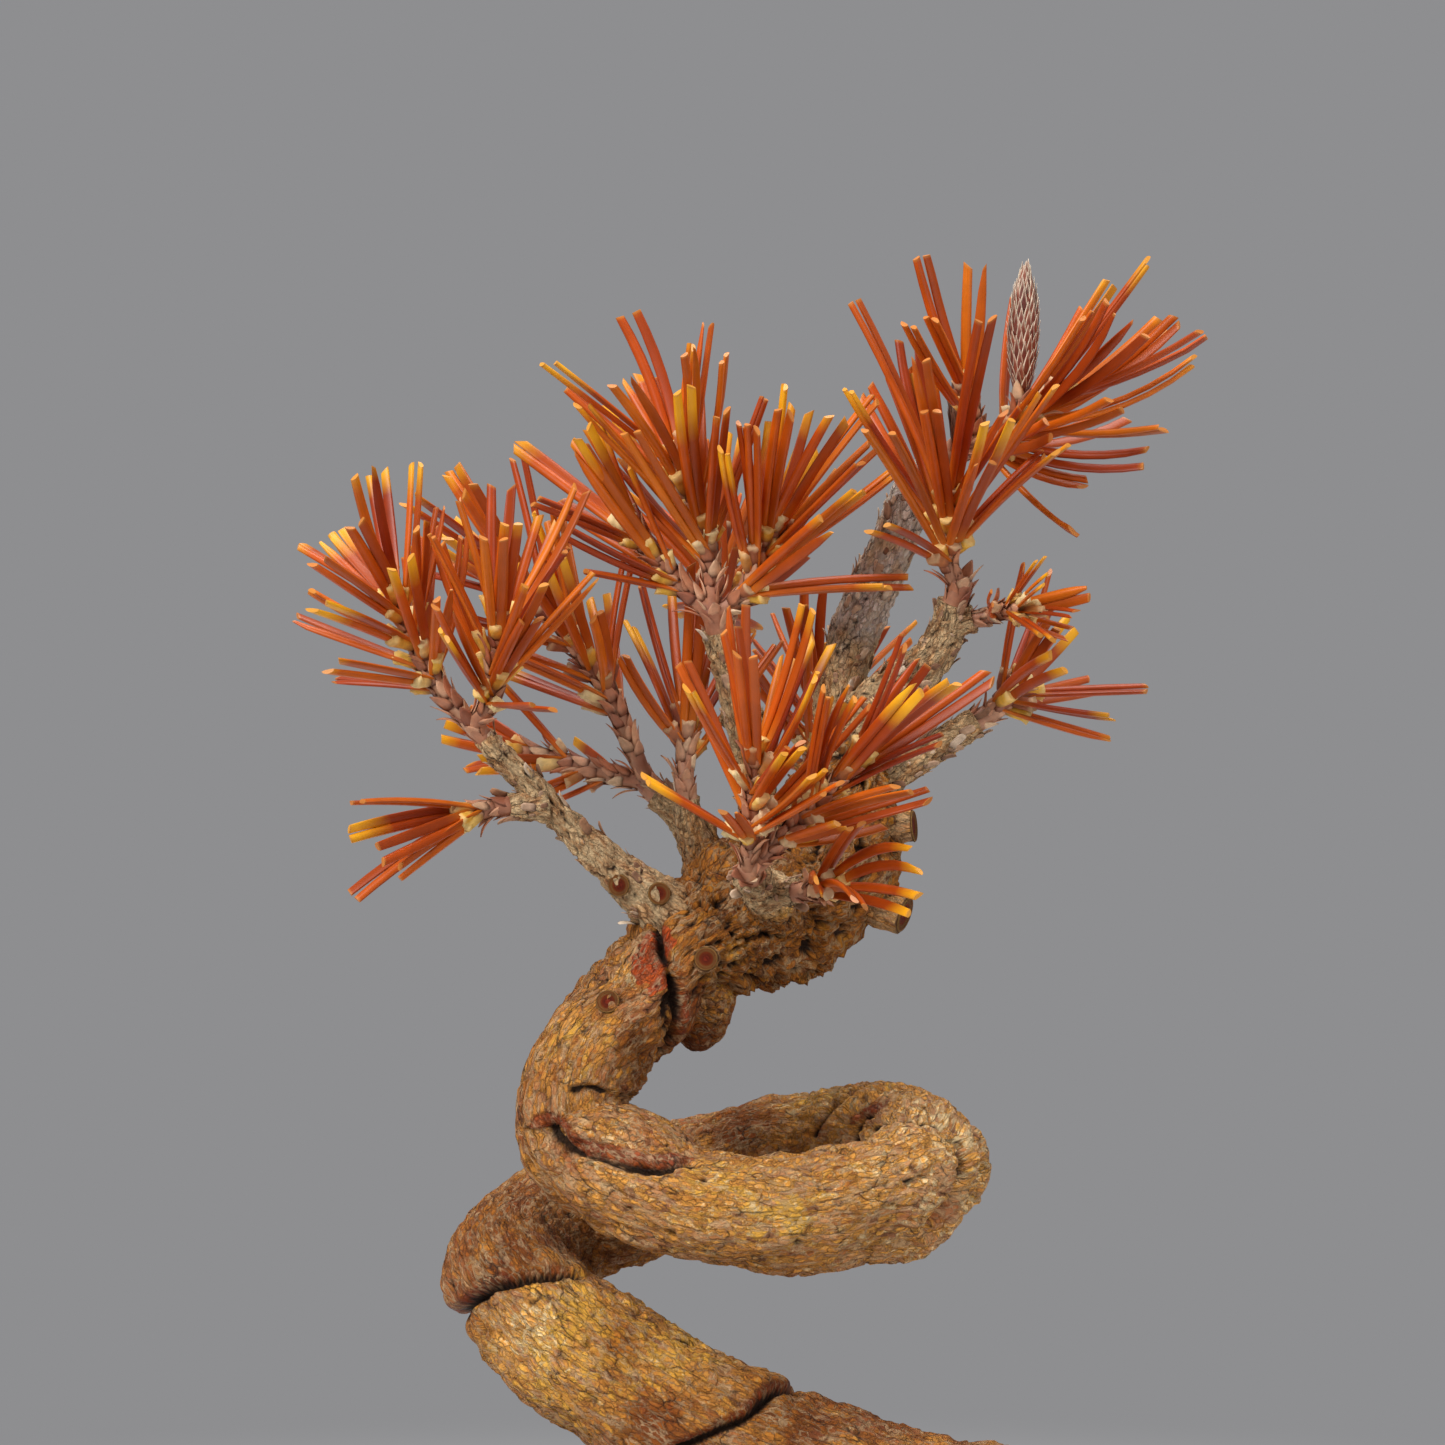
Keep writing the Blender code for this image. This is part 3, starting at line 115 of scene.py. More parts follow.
# A paleness lowered here is partly painted shade.
PATCHES = [  # middle, radius, and what is added there to how yellow, how red and how pale the bark is
    (5.6, -26.1, 98, 3, 0.9, 0, 0.1), (2.4, -26.4, 98.6, 3, 0.6, 0, 0), (-6.6, -25.6, 101.3, 5, 0.5, 0, 0),
    (-2.5, -24.5, 102.3, 4, 0.4, 0, 0.1), (-16.6, -21.8, 104.3, 5, -0.2, 0.1, 0.3),
    (19.1, -19.2, 100.3, 4, -0.3, 0, 0.2), (24.4, -6.3, 105.8, 4, 0.5, -0.3, 0.5),
    (25, -11.8, 98, 2.5, -0.2, 0.8, -0.2), (20.7, -15.7, 94.6, 2.5, -0.2, 0.5, -0.2),
    (0.4, 16.5, 104.1, 4.5, -0.1, 0.9, -0.1), (-2.4, 16.4, 103.4, 3, -0.1, 0.8, -0.2),
    (8.1, 14.4, 105.2, 4.5, 0.4, -0.3, 0.4), (4, 17.1, 105.1, 3, 0.3, 0, 0.3),
    (6, 12.7, 101.6, 4.5, -0.2, -0.3, -0.3), (-1.6, 14.8, 101.8, 4, -0.3, 0, -0.25),
    (10.9, 10.1, 101.6, 4, -0.2, -0.3, -0.3), (14.1, 9.2, 104.8, 2, -0.3, 1, -0.2),
    (-22.5, 2.5, 92.5, 5, -0.3, -0.2, -0.5), (-24.1, -16.1, 97.7, 4, -0.3, -0.3, -0.5),
    (-21.4, 2.8, 90.6, 3, -0.3, 0, -0.7), (-31.3, -1.1, 95.1, 5, -0.1, 0.1, -0.2),
    (-32, -12.6, 88.9, 4, -0.3, 0.5, -0.3), (-28.9, -11.9, 91.3, 5, -0.2, 0.1, -0.25),
    (-26.9, -4.3, 93.1, 4, -0.2, 0, -0.2), (-27.1, -19.7, 83, 5.5, 0.1, -0.3, 0.5),
    (-30.3, -17, 80.3, 4, 0, -0.3, 0.4), (-21, -19.4, 85.6, 5, 0.7, -0.2, 0.1),
    (-23.5, -22.8, 75.7, 6, 0.6, 0, 0.1), (-10, -22.7, 80.4, 5, 0.7, -0.2, 0.2),
    (-8, -18.3, 81.8, 4, 0.5, -0.1, 0.1), (-16.6, -23.1, 81.5, 3, -0.1, 0, -0.4),
    (-10.9, -27.9, 72, 4, -0.2, 0.7, -0.3), (-14.1, -27.2, 71.1, 4, -0.1, 0.6, -0.2),
    (2.4, -25.1, 75.1, 4, 0.5, 0, -0.3), (4.5, -25.9, 73.2, 4, -0.2, 0.5, -0.4),
    (16.1, -16.3, 70.6, 5, -0.2, 0.7, -0.3), (-15.7, -12.4, 125.4, 3.5, -0.2, 0, 0.4),
    (-21.6, -14.3, 120.2, 5, 0.4, 0, 0.1), (-22, -15.9, 115.3, 5, 0.4, 0, 0.15),
    (-13.6, -12.9, 114.8, 2.5, -0.4, -0.2, -0.6), (-15.2, -14.9, 118.1, 2.5, -0.3, -0.2, -0.5),
    (-19.1, -16, 117.7, 3, 0.5, 0, 0.1), (3.7, -10.8, 133.7, 2.5, 0.9, 0, 0.3),
    (-2.9, -8.6, 128.2, 2, 0.8, 0, 0.2), (-6.4, -8.7, 132.6, 2, 0.8, 0, 0.2),
    (-4.7, -8, 133.8, 3, -0.3, 0, -0.5), (-0.5, -7.5, 129.8, 3, -0.3, 0, -0.4),
    (7.3, -3.7, 128.4, 4, -0.2, 0.1, -0.3), (0.7, -7.3, 131.4, 2, 0.7, 0, 0.2),
    (20, 7, 184, 6, 0, -0.3, 1.1), (23, 6, 188.5, 5, 0, -0.3, 1.0), (14, 9, 171, 6, 0, 0, 0.7),
    (-1.8, -6.7, 125.1, 3, 0.4, 0.2, 0.1), (-7.2, -6.4, 116.9, 4, -0.2, 0.2, -0.4),
    (-4.3, -6.1, 119.3, 3, 0.2, 0.2, -0.1), (-6.8, -11.6, 124.5, 2.5, 0.3, 0.4, 0),
]
TORN_AND_SHADED = [  # middle, radius, and whether the bark was torn off there or is painted dark as the shade in a hollow
    ((-12.4, -10.7, 129.4), 2.0, "torn"), ((-12.7, -11.6, 127.7), 2.3, "torn"),
    ((-12.0, -13.0, 126.0), 1.9, "torn"), ((-8.0, -11.6, 122.6), 1.7, "dark"),
    ((-8.3, -10.3, 120.0), 1.9, "dark"), ((-7.8, -5.4, 116.1), 1.3, "dark"),
]


def unit(vectors):
    """Vectors one long."""
    vectors = np.asarray(vectors, float)
    return vectors / np.linalg.norm(vectors, axis=-1, keepdims=True)


def run_along(points):
    """How far along a line of points each one lies."""
    return np.concatenate([[0], np.cumsum(np.linalg.norm(np.diff(points, axis=0), axis=1))])


def full_turn(sides):
    """The angles of a ring's points, as a row."""
    return np.linspace(0, 2 * math.pi, sides, endpoint=False)[None, :]


def spokes(sides, ups, angle):
    """The outward directions of rings of points round a path."""
    return sides[:, None] * np.cos(angle)[..., None] + ups[:, None] * np.sin(angle)[..., None]


def smooth_path(points, step):
    """Catmull-Rom points through rows of numbers: their stations and the rows between, about step apart."""
    rows = [np.array(p, float) for p in points]
    rows = [2 * rows[0] - rows[1], *rows, 2 * rows[-1] - rows[-2]]
    stations, found = [], []
    for i in range(1, len(rows) - 2):
        a, b, c, d = rows[i - 1:i + 3]
        pieces = max(1, round(float(np.linalg.norm((c - b)[:3])) / step))
        for k in range(pieces):
            t = k / pieces
            stations.append(i - 1 + t)
            found.append(0.5 * (2 * b + (c - a) * t + (2 * a - 5 * b + 4 * c - d) * t**2
                                + (3 * b - a - 3 * c + d) * t**3))
    return np.array([*stations, len(points) - 1]), np.array([*found, rows[-2]])


def path_frames(centres):
    """Along, side and up directions at each centre, turned as little as possible from one to the next."""
    along = unit(np.gradient(centres, axis=0))
    sides = [unit(np.cross(along[0], (0.0, 1.0, 0.0)))]
    for direction in along[1:]:
        sides.append(unit(sides[-1] - direction * (sides[-1] @ direction)))
    sides = np.array(sides)
    return along, sides, np.cross(along, sides)


def dice(cells, salt):
    """A fixed number from 0 to 1 for every cell, given by whole numbers."""
    n = cells[..., 0] * 73856093 + cells[..., 1] * 19349663 + cells[..., 2] * 83492791 + salt * 2654435761
    n = (n ^ (n >> 13)) * 1274126177 & 0xFFFFFFFF
    n = (n ^ (n >> 16)) * 2246822519 & 0xFFFFFFFF
    return ((n ^ (n >> 15)) & 0xFFFF) / 65535.0


def cloud(points, salt=0):
    """Smooth noise from -1 to 1, with features one unit long."""
    low = np.floor(points).astype(np.int64)
    t = points - low
    t = t * t * (3 - 2 * t)
    total = 0.0
    for corner in np.ndindex(2, 2, 2):
        weight = np.prod(np.where(corner, t, 1 - t), axis=-1)
        total = total + weight * dice(low + np.array(corner), salt)
    return 2 * total - 1


def plates(points, salt=0):
    """Squarish cells one unit wide: how near a point is to its cell's edge, the cell's number, and its way
    off centre."""
    low = np.floor(points).astype(np.int64)
    first = np.full(points.shape[:-1], 9.0)
    second = first.copy()
    number = np.zeros(points.shape[:-1])
    offset = np.zeros(points.shape)
    for step in np.ndindex(3, 3, 3):
        cell = low + np.array(step) - 1
        seed = cell + np.stack([dice(cell, salt + k) for k in (1, 2, 3)], -1)
        away = (np.abs(points - seed) ** 4).sum(-1) ** 0.25
        nearer = away < first
        second = np.where(nearer, first, np.minimum(second, away))
        first = np.where(nearer, away, first)
        number = np.where(nearer, dice(cell, salt + 4), number)
        offset = np.where(nearer[..., None], points - seed, offset)
    return second - first, number, offset


def ramp(values, low, high):
    """From 0 below the low value to 1 above the high one, smoothly."""
    t = np.clip((values - low) / (high - low), 0, 1)
    return t * t * (3 - 2 * t)


def blurred(grid, reach):
    """A grid of heights, round in its second direction, averaged over its neighbours."""
    total = sum(np.roll(grid, k, axis=1) for k in range(-reach, reach + 1)) / (2 * reach + 1)
    padded = np.pad(total, ((reach, reach), (0, 0)), mode="edge")
    return sum(padded[k:k + len(grid)] for k in range(2 * reach + 1)) / (2 * reach + 1)


class Skin:
    """Closed grids of points gathered for one mesh, with a set of values for every point."""

    def __init__(self, **widths):
        self.widths = widths
        self.points, self.faces, self.count = [], [], 0
        self.values = {key: [] for key in widths}

    def add(self, grid, looped=False, **values):
        """A tube of rings. Its ends are closed by fans round their middles, or it is looped into a ring."""
        rings, sides = grid.shape[:2]
        index = self.count + np.arange(rings * sides).reshape(rings, sides)
        a, b = (index, np.roll(index, -1, 0)) if looped else (index[:-1], index[1:])
        self.faces += np.stack([a, np.roll(a, -1, 1), np.roll(b, -1, 1), b], -1).reshape(-1, 4).tolist()
        if not looped:
            low, high = self.count + rings * sides, self.count + rings * sides + 1
            self.faces += [(low, index[0][(k + 1) % sides], index[0][k]) for k in range(sides)]
            self.faces += [(high, index[-1][k], index[-1][(k + 1) % sides]) for k in range(sides)]
        blocks = [grid] if looped else [grid, grid[:1].mean(1), grid[-1:].mean(1)]
        self.points += [block.reshape(-1, 3) for block in blocks]
        for key, width in self.widths.items():
            value = np.asarray(values.get(key, np.zeros(width)), float)
            value = value[..., None] if width == 1 and value.shape[-1:] != (1,) else value
            value = np.broadcast_to(value, (rings, sides, width))
            blocks = [value] if looped else [value, value[:1].mean(1), value[-1:].mean(1)]
            self.values[key] += [block.reshape(-1, width) for block in blocks]
        self.count += rings * sides + (0 if looped else 2)

    def mesh(self, name):
        made = bpy.data.meshes.new(name)
        made.from_pydata(np.concatenate(self.points) * MM, [], self.faces)
        for key, width in self.widths.items():
            carry(made, key, np.concatenate(self.values[key]))
        form = bmesh.new()
        form.from_mesh(made)
        bmesh.ops.recalc_face_normals(form, faces=form.faces)
        form.to_mesh(made)
        form.free()
        made.shade_smooth()
        return made


def carry(mesh, name, values):
    """Gives a mesh a value, or a row of three, at every point."""
    values = np.asarray(values, np.float32)
    rows = values.ndim == 2 and values.shape[1] == 3
    made = mesh.attributes.new(name, "FLOAT_VECTOR" if rows else "FLOAT", "POINT")
    made.data.foreach_set("vector" if rows else "value", values.ravel())


def new_object(name, data):
    """An object in the scene, unturned at the origin."""
    made = bpy.data.objects.new(name, data)
    bpy.context.scene.collection.objects.link(made)
    return made


def show(name, mesh, look, slot, *nodes):
    """A finished piece: a mesh in place, its finish, the CAD nodes that it stands for, and its body."""
    made = new_object(name, mesh)
    mesh.materials.clear()
    mesh.materials.append(look)
    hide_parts(*nodes)
    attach(made, "root")
    return made


def bark_relief(flat, rough, plate, salt, swell=1.0):
    """Height of bark in millimetres on straightened wood: ridges along the grain, plates with cracks between
    them, and pits."""
    wide, long = plate
    warp = np.stack([cloud(flat / 2.2, salt + 20 + k) for k in range(3)], -1) * (0.45, 0.45, 0.9)
    edge, number, offset = plates((flat + warp) / (wide, wide, long), salt)
    crack = 1 - ramp(edge, 0.03, 0.2)
    lifted = ramp(number, 0.3, 0.95) * (0.55 + offset[..., 2] * 0.8)
    ridge = 1 - 2 * np.abs(cloud((flat + warp) / (1.3, 1.3, 7.0), salt + 30))
    pits = cloud(flat / 0.9, salt + 40) + 0.6 * cloud(flat / 0.5, salt + 41)
    edge, number, _ = plates((flat + warp) / (wide * 0.6, wide * 0.6, long * 0.5), salt + 7)
    chips = 0.5 * number - 0.4 * (1 - ramp(edge, 0.03, 0.25))
    height = rough * (0.2 * ridge - 0.5 * crack + 0.42 * lifted + 0.3 * chips) + 0.07 * pits
    height += swell * (0.6 * cloud(flat / 8.0, salt + 50) + 0.4 * cloud(flat / 3.6, salt + 51)
                       + 0.22 * cloud(flat / 1.7, salt + 52))
    return height


def marked(grid, zone):
    """Adds the patches and painted hollow shade to how yellow, red and pale a grid is, and tells where it is
    torn.
    """
    zone = np.broadcast_to(zone, grid.shape).copy()
    waver = 1 + 0.5 * cloud(grid / 1.6, 90)
    for *middle, radius, gold, rust, pale in PATCHES:
        share = np.exp(-((np.linalg.norm(grid - middle, axis=-1) * waver / radius) ** 2))
        zone += share[..., None] * (gold, rust, pale)
    torn = np.zeros(grid.shape[:-1])
    for middle, radius, kind in TORN_AND_SHADED:
        share = 1 - ramp(np.linalg.norm(grid - middle, axis=-1) * waver, radius * 0.8, radius * 1.2)
        if kind == "torn":
            torn = np.maximum(torn, share)
        else:
            # Painted shade: a dark, slightly redder spot where the bark lies as in a hollow.
            zone += share[..., None] * (-0.3, 0.4, -0.8)
    return zone, torn


def creased(grid, outward, deep, lip):
    """Presses creases and twig scars into a grid, marks them for painted shade, and marks their upper
    lips as smooth.
    """
    points = grid.reshape(-1, 3).copy()
    outward = np.broadcast_to(outward, grid.shape).reshape(-1, 3)
    deep, lip = deep.reshape(-1).copy(), lip.reshape(-1).copy()
    for width, depth, red, line in CREASES:
        line = np.array(line)
        near = ((points > line.min(0) - 5) & (points < line.max(0) + 5)).all(1)
        found = points[near]
        away = np.full((len(found), 3), 99.0)
        for a, b in zip(line, line[1:]):
            share = np.clip((found - a) @ (b - a) / ((b - a) @ (b - a)), 0, 1)[:, None]
            offset = found - (a + (b - a) * share)
            closer = np.linalg.norm(offset, axis=1) < np.linalg.norm(away, axis=1)
            away = np.where(closer[:, None], offset, away)
        distance = np.linalg.norm(away, axis=1)
        waver = 0.35 * cloud(found / 1.6, 80)
        inside = np.exp(-(((distance + waver) / width) ** 2))
        upper = ramp(away[:, 2], -0.2, 0.8)
        swell = upper * np.exp(-(((distance - width * 2.2) / (width * 1.8)) ** 2))
        band = upper * np.exp(-(((distance - width * 1.4) / (width * 0.95)) ** 2))
        points[near] += outward[near] * (0.16 * depth * swell - depth * inside)[:, None]
        points[near] -= np.array((0, 0, 1.0)) * (0.5 * depth * swell)[:, None]
        deep[near] = np.maximum(deep[near] * (1 - band), ramp(inside, 0.3, 0.85))
        lip[near] = np.maximum(lip[near], red * band)
    for middle, radius in KNOTS:
        distance = np.linalg.norm(points - middle, axis=1)
        near = distance < radius * 4
        ring = np.exp(-(((distance[near] - radius) / (radius * 0.4)) ** 2))
        heart = np.exp(-((distance[near] / (radius * 0.6)) ** 2))
        points[near] += outward[near] * (0.35 * ring - 0.6 * heart)[:, None] * radius
        deep[near] = np.maximum(deep[near] * (1 - ring), 0.9 * heart)
    return points.reshape(grid.shape), deep.reshape(grid.shape[:2]), lip.reshape(grid.shape[:2])


def make_trunk(skin):
    """The trunk as rings round its bent middle line, pulled in by the wire and wrinkled where it bends."""
    station, rows = smooth_path(TRUNK, TRUNK_STEP)
    centres, radius = rows[:, :3], rows[:, 3][:, None]
    along, sides, ups = path_frames(centres)
    run, angle = run_along(centres), full_turn(TRUNK_SIDES)
    outward = spokes(sides, ups, angle)
    at, s = station[:, None], run[:, None]

    # How sharply the trunk bends towards each side.
    first = np.gradient(centres, axis=0)
    second = np.gradient(first, axis=0)
    speed = (first**2).sum(1)[:, None]
    bend = (second - first * (second * first).sum(1)[:, None] / speed) / speed
    bend = np.stack([np.convolve(bend[:, k], np.ones(7) / 7, "same") for k in range(3)], -1)
    inward = (outward * bend[:, None]).sum(-1)

    # It isn't quite round, least of all at the knot.
    knot = np.exp(-((at - KNOT_STATION) ** 2))
    lump = np.sin(2 * angle + 0.9 * at) + 0.7 * np.sin(3 * angle - 1.7 * at)
    body = radius * (1 + lump * (0.05 + 0.1 * knot))
    flat = np.stack([body * np.cos(angle), body * np.sin(angle), s + 0 * body], -1)

    # Each wire scar is a groove that climbs round the trunk, with swollen wood on both of its sides.
    groove, lip, slide = (np.zeros(body.shape) for _ in range(3))
    waver = 0.7 * cloud(flat / 5.0, 70) + 0.3 * cloud(flat / 1.8, 71)
    for place, facing, span, depth, red in WIRE_SCARS:
        i = int(np.argmin(abs(station - place)))
        middle = math.atan2(np.dot(facing, ups[i]), np.dot(facing, sides[i]))
        off = (angle - middle + math.pi) % (2 * math.pi) - math.pi
        away = s - run[i] - WIRE_CLIMB * off + waver
        fade = ramp(1 - np.abs(off / math.radians(span)), 0.0, 0.35)
        groove += depth * 1.35 * fade * np.exp(-((away / np.where(away > 0, 0.65, 1.15)) ** 2))
        rise = fade * np.exp(-(((away - 2.7) / 2.1) ** 2))
        low = fade * np.exp(-(((away + 3.2) / 2.4) ** 2))
        body = body + depth * (0.45 * rise + 0.15 * low)
        slide = slide - depth * 0.65 * fade * np.exp(-(((away - 1.6) / 1.4) ** 2))
        lip = np.maximum(lip, red * fade * np.exp(-(((away - 0.9) / 1.0) ** 2)))

    # The bark is worn smooth on the scars' lips, wrinkled inside sharp bends, craggy and split on the knot.
    crown = ramp(at, *CRAGGY_FROM)
    smooth = np.maximum(lip, 0.7 * ramp(groove, 0.3, 1.2))
    rough = (0.75 + 0.6 * crown) * (1 - 0.7 * smooth)
    relief = bark_relief(flat, rough, (1.7, 3.6), 1)
    pinch = ramp(inward * radius, 0.3, 0.75)
    wrinkle = np.abs(cloud(flat / (3.0, 3.0, 1.3), 60))
    relief = relief * (1 - 0.55 * smooth) - pinch * 0.7 * (1 - wrinkle)
    crag = sum(share * (1 - 2 * np.abs(cloud(flat / size, salt)))
               for size, share, salt in ((4.2, 0.8, 61), (2.1, 0.55, 62), (1.1, 0.35, 63)))
    split = np.exp(-((cloud((flat + 0.8 * relief[..., None]) / (3.0, 3.0, 5.0), 64) / 0.1) ** 2))
    relief = relief + crown * (0.95 * crag - 1.1 * split - 0.2)
    reach = body + relief - groove
    limit = BEND_LIMIT / np.maximum(inward, 1e-6)
    reach = np.where(inward > 0, np.minimum(reach, limit), reach)
    # Painted shade: how dark the crevices, the wire grooves and the insides of sharp bends are painted.
    deep = ramp(blurred(relief - groove, 4) - (relief - groove), 0.16, 0.75)
    deep = np.maximum(deep, ramp(groove, 0.4, 1.3))
    deep = np.maximum(deep, 0.6 * pinch * (1 - ramp(wrinkle, 0.0, 0.4)))
    grid = centres[:, None] + outward * reach[..., None] + along[:, None] * slide[..., None]
    grid, deep, lip = creased(grid, outward, deep, lip)
    zones = np.array(ZONES)
    zone = np.stack([np.interp(station, zones[:, 0], zones[:, k]) for k in (1, 2, 3)], -1)[:, None]
    zone, torn = marked(grid, zone)
    skin.add(grid, grain=flat, deep=deep, lip=lip, torn=torn, zone=zone, age=np.ones(deep.shape))


def add(tree, kind, ins=(), **settings):
    """A node with its settings, its inputs set to values or joined to sockets."""
    made = tree.nodes.new(kind)
    for key, value in settings.items():
        setattr(made, key, value)
    for key, value in dict(ins).items():
        if isinstance(value, bpy.types.NodeSocket):
            tree.links.new(value, made.inputs[key])
        else:
            made.inputs[key].default_value = value
    return made


def new_look(name, roughness, **fixed):
    """A material, its tree and its shader, with the values that are the same all over."""
    look = bpy.data.materials.new(name)
    look.use_nodes = True
    shader = look.node_tree.nodes["Principled BSDF"]
    shader.inputs["Roughness"].default_value = roughness
    for key, value in fixed.items():
        shader.inputs[key.replace("_", " ")].default_value = value
    return look, look.node_tree, shader


def finished(look, shader, tint, height, strength, depth):
    """The look with its colour, and with a fine relief whose depth is in metres."""
    tree = look.node_tree
    tree.links.new(tint, shader.inputs["Base Color"])
    bump = add(tree, "ShaderNodeBump", {"Strength": strength, "Distance": depth, "Height": height})
    tree.links.new(bump.outputs[0], shader.inputs["Normal"])
    return look


def held(tree, name, output="Fac"):
    """A value that the piece's points carry."""
    return add(tree, "ShaderNodeAttribute", attribute_name=name).outputs[output]


def stretched(tree, source, scale):
    """Points with each of their coordinates scaled."""
    return add(tree, "ShaderNodeVectorMath", {0: source, 1: scale}, operation="MULTIPLY").outputs[0]


def mottle(tree, where, scale, detail=4.0, roughness=0.6, distortion=0.0):
    """Cloudy spots, as a number near a half."""
    ins = {"Vector": where, "Scale": scale, "Detail": detail, "Roughness": roughness,
           "Distortion": distortion}
    return add(tree, "ShaderNodeTexNoise", ins).outputs["Fac"]


def steps(tree, factor, stops):
    """Colours or greys along a ramp: pairs of place and colour."""
    made = add(tree, "ShaderNodeValToRGB", {"Fac": factor})
    band = made.color_ramp
    while len(band.elements) < len(stops):
        band.elements.new(0.5)
    for element, (place, colour) in zip(band.elements, stops):
        element.position = place
        element.color = (*colour, 1.0) if isinstance(colour, tuple) else (colour, colour, colour, 1.0)
    return made.outputs["Color"]


def blend_in(tree, factor, under, over, kind="MIX"):
    """One colour over another, as far as the factor or mask says."""
    ins = {0: factor, 6: under, 7: (*over, 1.0) if isinstance(over, tuple) else over}
    return add(tree, "ShaderNodeMix", ins, data_type="RGBA", blend_type=kind).outputs[2]


def srgb(red, green, blue):
    """A colour read off a screen, from 0 to 255, as the shader wants it."""
    shares = [value / 255 for value in (red, green, blue)]
    return tuple(c / 12.92 if c <= 0.04045 else ((c + 0.055) / 1.055) ** 2.4 for c in shares)


def reckon(tree, operation, *terms):
    """A difference, size or the like of numbers and sockets."""
    return add(tree, "ShaderNodeMath", dict(enumerate(terms)), operation=operation).outputs["Value"]


def times(tree, a, b):
    """The product of two numbers or sockets."""
    return reckon(tree, "MULTIPLY", a, b)


def plus(tree, total, *terms):
    """The sum of numbers and sockets."""
    for term in terms:
        total = reckon(tree, "ADD", total, term)
    return total


def cells(tree, where):
    """Squarish cells one unit wide: how near a point is to its cell's edge, and a number for the cell."""
    near, next_near = (add(tree, "ShaderNodeTexVoronoi", {"Vector": where, "Scale": 1.0, "Exponent": 4.0},
                           feature=feature, distance="MINKOWSKI") for feature in ("F1", "F2"))
    gap = reckon(tree, "SUBTRACT", next_near.outputs["Distance"], near.outputs["Distance"])
    return gap, add(tree, "ShaderNodeSeparateXYZ", {0: near.outputs["Color"]}).outputs[0]


def masked(tree, value, low, high, most=1.0):
    """From none below the low value to the most above the high one."""
    ins = {"Value": value, "From Min": low, "From Max": high, "To Max": most}
    return add(tree, "ShaderNodeMapRange", ins).outputs["Result"]


